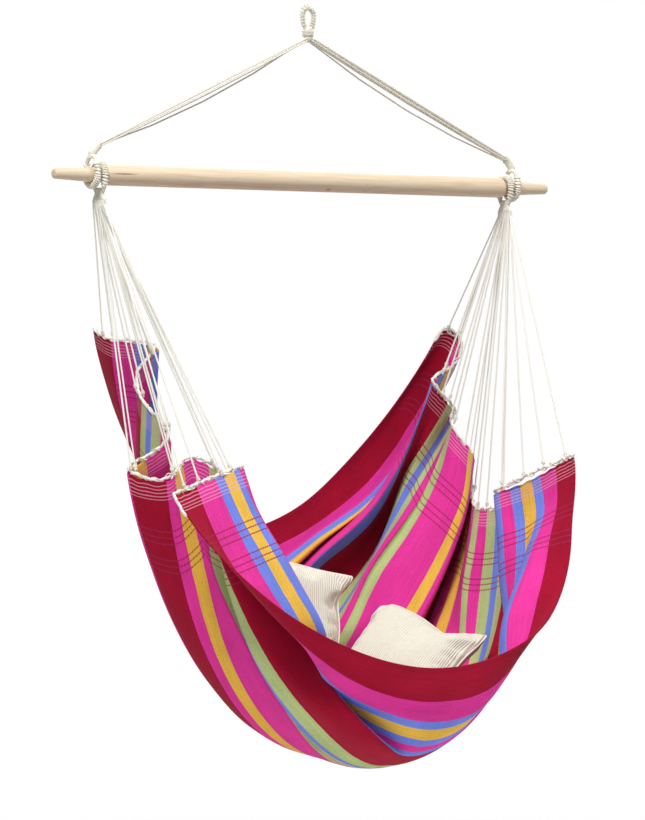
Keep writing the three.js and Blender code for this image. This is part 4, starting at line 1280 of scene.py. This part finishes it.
@dataclass
class SpreaderBar:
    """The turned bar, with a thinner neck at each end."""

    length: float = 1100
    radius: float = 18.5
    neck_length: float = 105
    neck_radius: float = 13
    neck_fillet: float = 0.6
    tip_radius: float = 9.5
    tip_rounding: float = 5
    shoulder_rounding: float = 6
    rounding_steps: int = 8
    collar_end: float = 475.8
    middle_margin: float = 20
    middle_rings: int = 30
    sides: int = 72

    def rounding(self, x: float, top: float, size: float) -> list[tuple[float, float]]:
        """Rounds the edge of a face that looks to the left.

        Args:
            x: Place of the face along the bar.
            top: Radius beside it.
            size: Radius of the rounding.

        Returns:
            Pairs of a place along the bar and a radius, in millimetres.
        """
        turns = np.linspace(0, math.pi / 2, self.rounding_steps)
        return [(x + size * (1 - math.cos(t)), top - size * (1 - math.sin(t))) for t in turns]

    def outline(self) -> list[tuple[float, float]]:
        """Gives the turned outline from the left tip to the right one.

        Returns:
            Pairs of a place along the bar and a radius, in millimetres.
        """
        shoulder = self.length / 2 - self.neck_length
        left = [
            *self.rounding(-self.length / 2, self.tip_radius, self.tip_rounding),
            (-self.collar_end, self.neck_radius),
            (-shoulder - self.neck_fillet, self.neck_radius),
            (-shoulder, self.neck_radius + self.neck_fillet),
            *self.rounding(-shoulder, self.radius, self.shoulder_rounding),
        ]
        reach = shoulder - self.middle_margin
        middle = [(x, self.radius) for x in np.linspace(-reach, reach, self.middle_rings)]
        return left + middle + [(-x, r) for x, r in reversed(left)]

    def place(self, wood: Material) -> None:
        """Builds, dresses and seats the bar.

        Args:
            wood: Material of the bar.
        """
        rings = np.array(self.outline())
        turns = np.linspace(0, FULL_TURN, self.sides, endpoint=False)
        round_bar = np.stack([0 * turns, np.cos(turns), np.sin(turns)], axis=1)
        vertices = rings[:, None, 1:] * round_bar + rings[:, None, :1] * (1, 0, 0)
        vertices = (vertices - (0, 0, BAR_DROP)).reshape(-1, 3)
        quads, first, last = tube_faces(len(rings), self.sides)
        faces = [*quads[:, [0, 3, 2, 1]].tolist(), first.tolist(), last[::-1].tolist()]
        bar = smooth_mesh("turned_spreader_bar", vertices * MM, faces)
        for tip in (-1, -2):
            bar.data.polygons[tip].use_smooth = False
        seat(bar, wood, "bar", "spreader_bar")


@dataclass
class Collar:
    """The close winding of a collar loop, and the cords that run down over its flat fan."""

    core_radius: float = 4
    wire_radius: float = 1.75
    loop_radius: float = 20
    loop_point: float = 34
    wound_from: float = 0.15
    turns: int = 26
    steps: int = 12
    suspension_x: float = 468.5
    fan_top: float = 26
    ring_steps: int = 49
    ring_lay: float = 30
    wire_lay: float = 9
    cords: int = 10

    def ring(self, shares: Points, x: float, way: int) -> Points:
        """Gives the middle line of a collar loop, drawn to a point on one side.

        Args:
            shares: Shares of the full turn.
            x: Place of the loop along the bar.
            way: Minus one where the loop's point is below, one where it is above.

        Returns:
            Points in millimetres.
        """
        height = -np.cos(FULL_TURN * shares)
        reach = np.where(height < 0, self.loop_point, self.loop_radius)
        back = self.loop_radius * np.sin(FULL_TURN * shares)
        return np.stack([x + 0 * back, back, -BAR_DROP - way * reach * height], axis=1)

    def wire(self, name: str, line: Points) -> Piece:
        """Makes a thin laid cord of the collar along a line."""
        return swept_tube(name, line, self.wire_radius, sides=9, lobes=3, lay=self.wire_lay)

    def winding(self, name: str, x: float, way: int) -> Piece:
        """Winds a cord closely round one collar loop.

        Args:
            name: The piece's name.
            x: Place of the loop along the bar.
            way: Minus one where the loop's point is below, one where it is above.

        Returns:
            The winding.
        """
        count = self.turns * self.steps + 1
        centres = self.ring(np.linspace(self.wound_from, 1 - self.wound_from, count), x, way)
        outward = np.cross(unit(np.gradient(centres, axis=0)), [1.0, 0, 0])
        spin = FULL_TURN * np.arange(count)[:, None] / self.steps
        wide = self.core_radius + 0.4 * self.wire_radius
        line = centres + wide * (outward * np.cos(spin) + np.array([1.0, 0, 0]) * np.sin(spin))
        return self.wire(name, smooth_line(line, step=1.6))

    def harness_loop(self, name: str, sign: int) -> Piece:
        """Builds a harness collar: its loop, and the cords that run down from it to the fan's foot.

        Args:
            name: The piece's name.
            sign: Minus one for the left side, one for the right.

        Returns:
            The collar as one piece.
        """
        ring = self.ring(np.linspace(0, 1, self.ring_steps), sign * FAN_X, -1)
        loop = smooth_line(ring, step=2.0)
        parts = [swept_tube(name, loop, self.core_radius, sides=12, lobes=3, lay=self.ring_lay)]
        middle = np.array([sign * FAN_X, 0, -BAR_DROP])
        # A cord's stops: share of the pitch to the side, share of its place in the fan, height.
        foot, top = -FAN_DROP - 1.5, 3 - self.fan_top
        stops = ((0.5, 1, foot), (0.45, 0.62, -self.loop_point), (0.5, 0.36, top))
        for number in range(self.cords):
            across = (number - (self.cords - 1) / 2) * CORD_PITCH
            for leg in (-1, 1):
                line = np.array([(leg * CORD_PITCH * x, across * y, z) for x, y, z in stops])
                parts.append(self.wire(name, smooth_line(line + middle, step=2.0)))
        return merged(name, parts)

    def place(self, wound: Material) -> None:
        """Builds, dresses and seats the windings of all four collars and both fans.

        Args:
            wound: Material of the cords.
        """
        kinds = (("harness", FAN_X, -1, "seat"), ("suspension", self.suspension_x, 1, "suspension"))
        for side, sign in (("left", -1), ("right", 1)):
            for kind, x, way, body in kinds:
                winding = self.winding(f"close_{kind}_whipping_{side}", sign * x, way)
                seat(winding, wound, body, f"{kind}_collar_{side}_whipping")
            loop = self.harness_loop(f"harness_loop_{side}", sign)
            seat(loop, wound, "seat", f"harness_collar_{side}")


@dataclass
class RopeWork:
    """The solids of the source that keep their shape: strands, cords, collars and the eye."""

    stem_x: float = 452.5
    stem_fall: float = 209
    # The strands' cream, then the painted shade in their grooves.
    strand_colour_and_groove_shade: tuple[str, str] = ("#F6F2E6", "#C6BCA4")

    def place(self) -> None:
        """Dresses each rope node by the way that its cord runs."""
        finishes = {"harness_cord": TwistedCottonCord("twisted_cord_harness", (0, 0, 1)).material()}
        for side, x in (("left", -self.stem_x), ("right", self.stem_x)):
            fall = (x, 0, -self.stem_fall)
            strand = TwistedCottonCord(f"twisted_strand_{side}", fall, *self.strand_colour_and_groove_shade)
            finishes[f"suspension_strand_{side}"] = strand.material()
        wound = WoundCottonCord().material()
        for name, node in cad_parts.items():
            if node.hide_render:
                continue
            chosen = [finish for start, finish in finishes.items() if name.startswith(start)]
            dress(node, chosen[0] if chosen else wound)
            for polygon in node.data.polygons:
                polygon.use_smooth = True


@dataclass
class Studio:
    """Pale floor, soft lamps and the camera at the photograph's angle. Sizes in metres."""

    azimuth: float = -35
    distance: float = 9
    middle_height: float = -0.732
    right_shift: float = 0.0266
    picture_height: int = 820
    metres_per_pixel: float = 0.001835
    film_size: float = 36
    far_limit: float = 100
    floor_height: float = -1.62
    floor_reach: float = 1.9
    floor_sides: int = 64
    floor_colour: str = "#ECECEA"
    fade_from: float = 0.55
    room_colour: str = "#F4F6FA"
    room_strength: float = 0.34
    lamp_aim: tuple[float, float, float] = (0, 0, -0.8)
    # Each lamp's name, place, side of its square, and power in watts.
    lamps: tuple = (
        ("key_lamp", (-2.8, -2.1, 3.6), 1.8, 235),
        ("front_lamp", (0.9, -1.9, 3.5), 1.8, 105),
        ("back_lamp", (1.6, 3.4, 1.4), 2.4, 45),
    )

    def camera(self) -> None:
        """Places the camera level with the chair's middle."""
        turn = math.radians(self.azimuth)
        back = Vector((math.sin(turn), -math.cos(turn), 0))
        right = Vector((math.cos(turn), math.sin(turn), 0))
        lens = bpy.data.cameras.new("studio_camera")
        lens.sensor_width = self.film_size
        span = self.picture_height * self.metres_per_pixel
        lens.lens = self.film_size * self.distance / span
        lens.clip_end = self.far_limit
        camera = linked(bpy.data.objects.new("studio_camera", lens))
        aim = right * self.right_shift + Vector((0, 0, self.middle_height))
        camera.location = aim + back * self.distance
        camera.rotation_euler = Euler((math.pi / 2, 0, turn))
        bpy.context.scene.camera = camera

    def lamp(self, name: str, place: tuple, size: float, power: float) -> None:
        """Adds one soft square lamp.

        Args:
            name: The lamp's name.
            place: Where it is.
            size: Its side.
            power: Its power in watts.
        """
        light = bpy.data.lights.new(name, "AREA")
        light.shape, light.size, light.energy = "SQUARE", size, power
        lamp = linked(bpy.data.objects.new(name, light))
        lamp.location = place
        ray = Vector(self.lamp_aim) - Vector(place)
        lamp.rotation_euler = ray.to_track_quat("-Z", "Y").to_euler()

    def world(self) -> None:
        """Lights the chair evenly from all round, against a white ground."""
        world = bpy.data.worlds.new("pale_room")
        bpy.context.scene.world = world
        world.use_nodes = True
        world.node_tree.nodes.clear()
        add = partial(add_node, world.node_tree)
        path = add("LightPath", out=None).outputs
        seen = path["Is Camera Ray"]
        for name in ("Is Glossy Ray", "Is Transmission Ray"):
            seen = add("Math.MAXIMUM", seen, path[name])
        room = add("Background", linear(self.room_colour), self.room_strength)
        ground = add("Background", (1, 1, 1, 1), 1.0)
        add("OutputWorld", add("MixShader", seen, room, ground), out=None)

    def floor(self) -> None:
        """Lays a round pale floor that fades into the white ground at its rim."""
        turns = np.linspace(0, FULL_TURN, self.floor_sides, endpoint=False)
        rim = np.stack([np.cos(turns), np.sin(turns), 0 * turns], axis=1) * self.floor_reach
        rim += (0, 0, self.floor_height)
        floor = smooth_mesh("studio_floor", rim, [list(range(self.floor_sides))])
        material, tree = new_material("pale_floor_paint")
        add = partial(add_node, tree)
        flat = add("VectorMath.MULTIPLY", add("TexCoord", out="Object"), (1, 1, 0))
        reach = add("VectorMath.LENGTH", flat, out=1)
        span = (self.fade_from * self.floor_reach, self.floor_reach)
        fade = add("MapRange", reach, *span, interpolation_type="SMOOTHSTEP")
        path = add("LightPath", out=None).outputs
        seen = add("Math.MAXIMUM", path["Is Camera Ray"], path["Is Glossy Ray"])
        values = {"Base Color": linear(self.floor_colour), "Roughness": 0.8, "IOR": 1.5}
        paint, white = add("BsdfPrincipled", values), add("Emission", (1, 1, 1, 1), 1.0)
        mixed = add("MixShader", add("Math.MULTIPLY", fade, seen), paint, white)
        add("OutputMaterial", mixed, out=None)
        dress(floor, material)

    def place(self) -> None:
        """Sets up the whole studio."""
        bpy.context.scene.view_settings.view_transform = "Standard"
        self.camera()
        self.world()
        self.floor()
        for lamp in self.lamps:
            self.lamp(*lamp)


def main() -> None:
    """Builds every sub-assembly in order and reports it."""
    logging.basicConfig(level=logging.INFO, format="%(message)s")
    Studio().place()
    log.info("studio")
    cloth = SeatCloth()
    sheet = cloth.place(StripedCottonWeave())
    log.info("seat cloth: %.0f mm long on average", cloth.cut_length)
    rope = TwistedCottonCord("twisted_rope_edge", (0, 1, 0)).material()
    wound = WoundCottonCord("knotted_cotton_cord").material()
    shares = {
        "left": (0.05, 0.13, 0.22, 0.35, 0.45, 0.52, 0.65, 0.75, 0.85, 0.95),
        "right": (0.05, 0.14, 0.22, 0.34, 0.43, 0.55, 0.65, 0.75, 0.85, 0.95),
    }
    spreads = {
        "left": (1, 0.8, 0.3, 0.3, 0.15, 0.1, 0.1, 0.4, 0.3, 0.4),
        "right": (1, 1, 0.3, 0.4, 0.1, 0.3, 0.1, 0.3, 0.4, 0.6),
    }
    for side, sign, hanging in (("left", -1, 62), ("right", 1, 0)):
        places = tuple(zip(shares[side], spreads[side]))
        EdgeRope(cloth, side, sign, hanging_end=hanging, cord_places=places).place(rope, wound)
        log.info("edge rope %s", side)
    cover = RibbedCottonCover().material()
    left_dents = (
        (0.1, 1, 0.6, 0.8, 0, 0, 20),
        (1, 1, 0.28, 0.3, 22, -15, -4),
        (0.55, 0.1, 0.35, 0.5, 5, 9, -4),
        (1, 0, 0.3, 0.4, 6, -4, 0),
        (-1, -1, 0.45, 0.45, 11, -1, 7),
    )
    right_dents = (
        (0.35, 1, 0.4, 0.75, 0, 0, -26),
        (1, 1, 0.5, 0.75, 0, 0, -14),
        (-0.55, 0.9, 0.3, 0.4, 0, 0, 6),
        (0.1, 0.1, 0.2, 0.6, 4, 2, -6),
        (0.65, -0.2, 0.2, 0.6, 3, 2, -5),
    )
    pillows = {"left": ((67, 6, -21), left_dents), "right": ((39, 8, -67), right_dents)}
    for side, (turns, dents) in pillows.items():
        Pillow(side, turns, dents=dents).place(cover)
        log.info("pillow %s", side)
    SpreaderBar().place(TurnedPine().material())
    log.info("spreader bar")
    Collar().place(wound)
    log.info("collars")
    RopeWork().place()
    log.info("rope work")


if __name__ == "__main__":
    main()
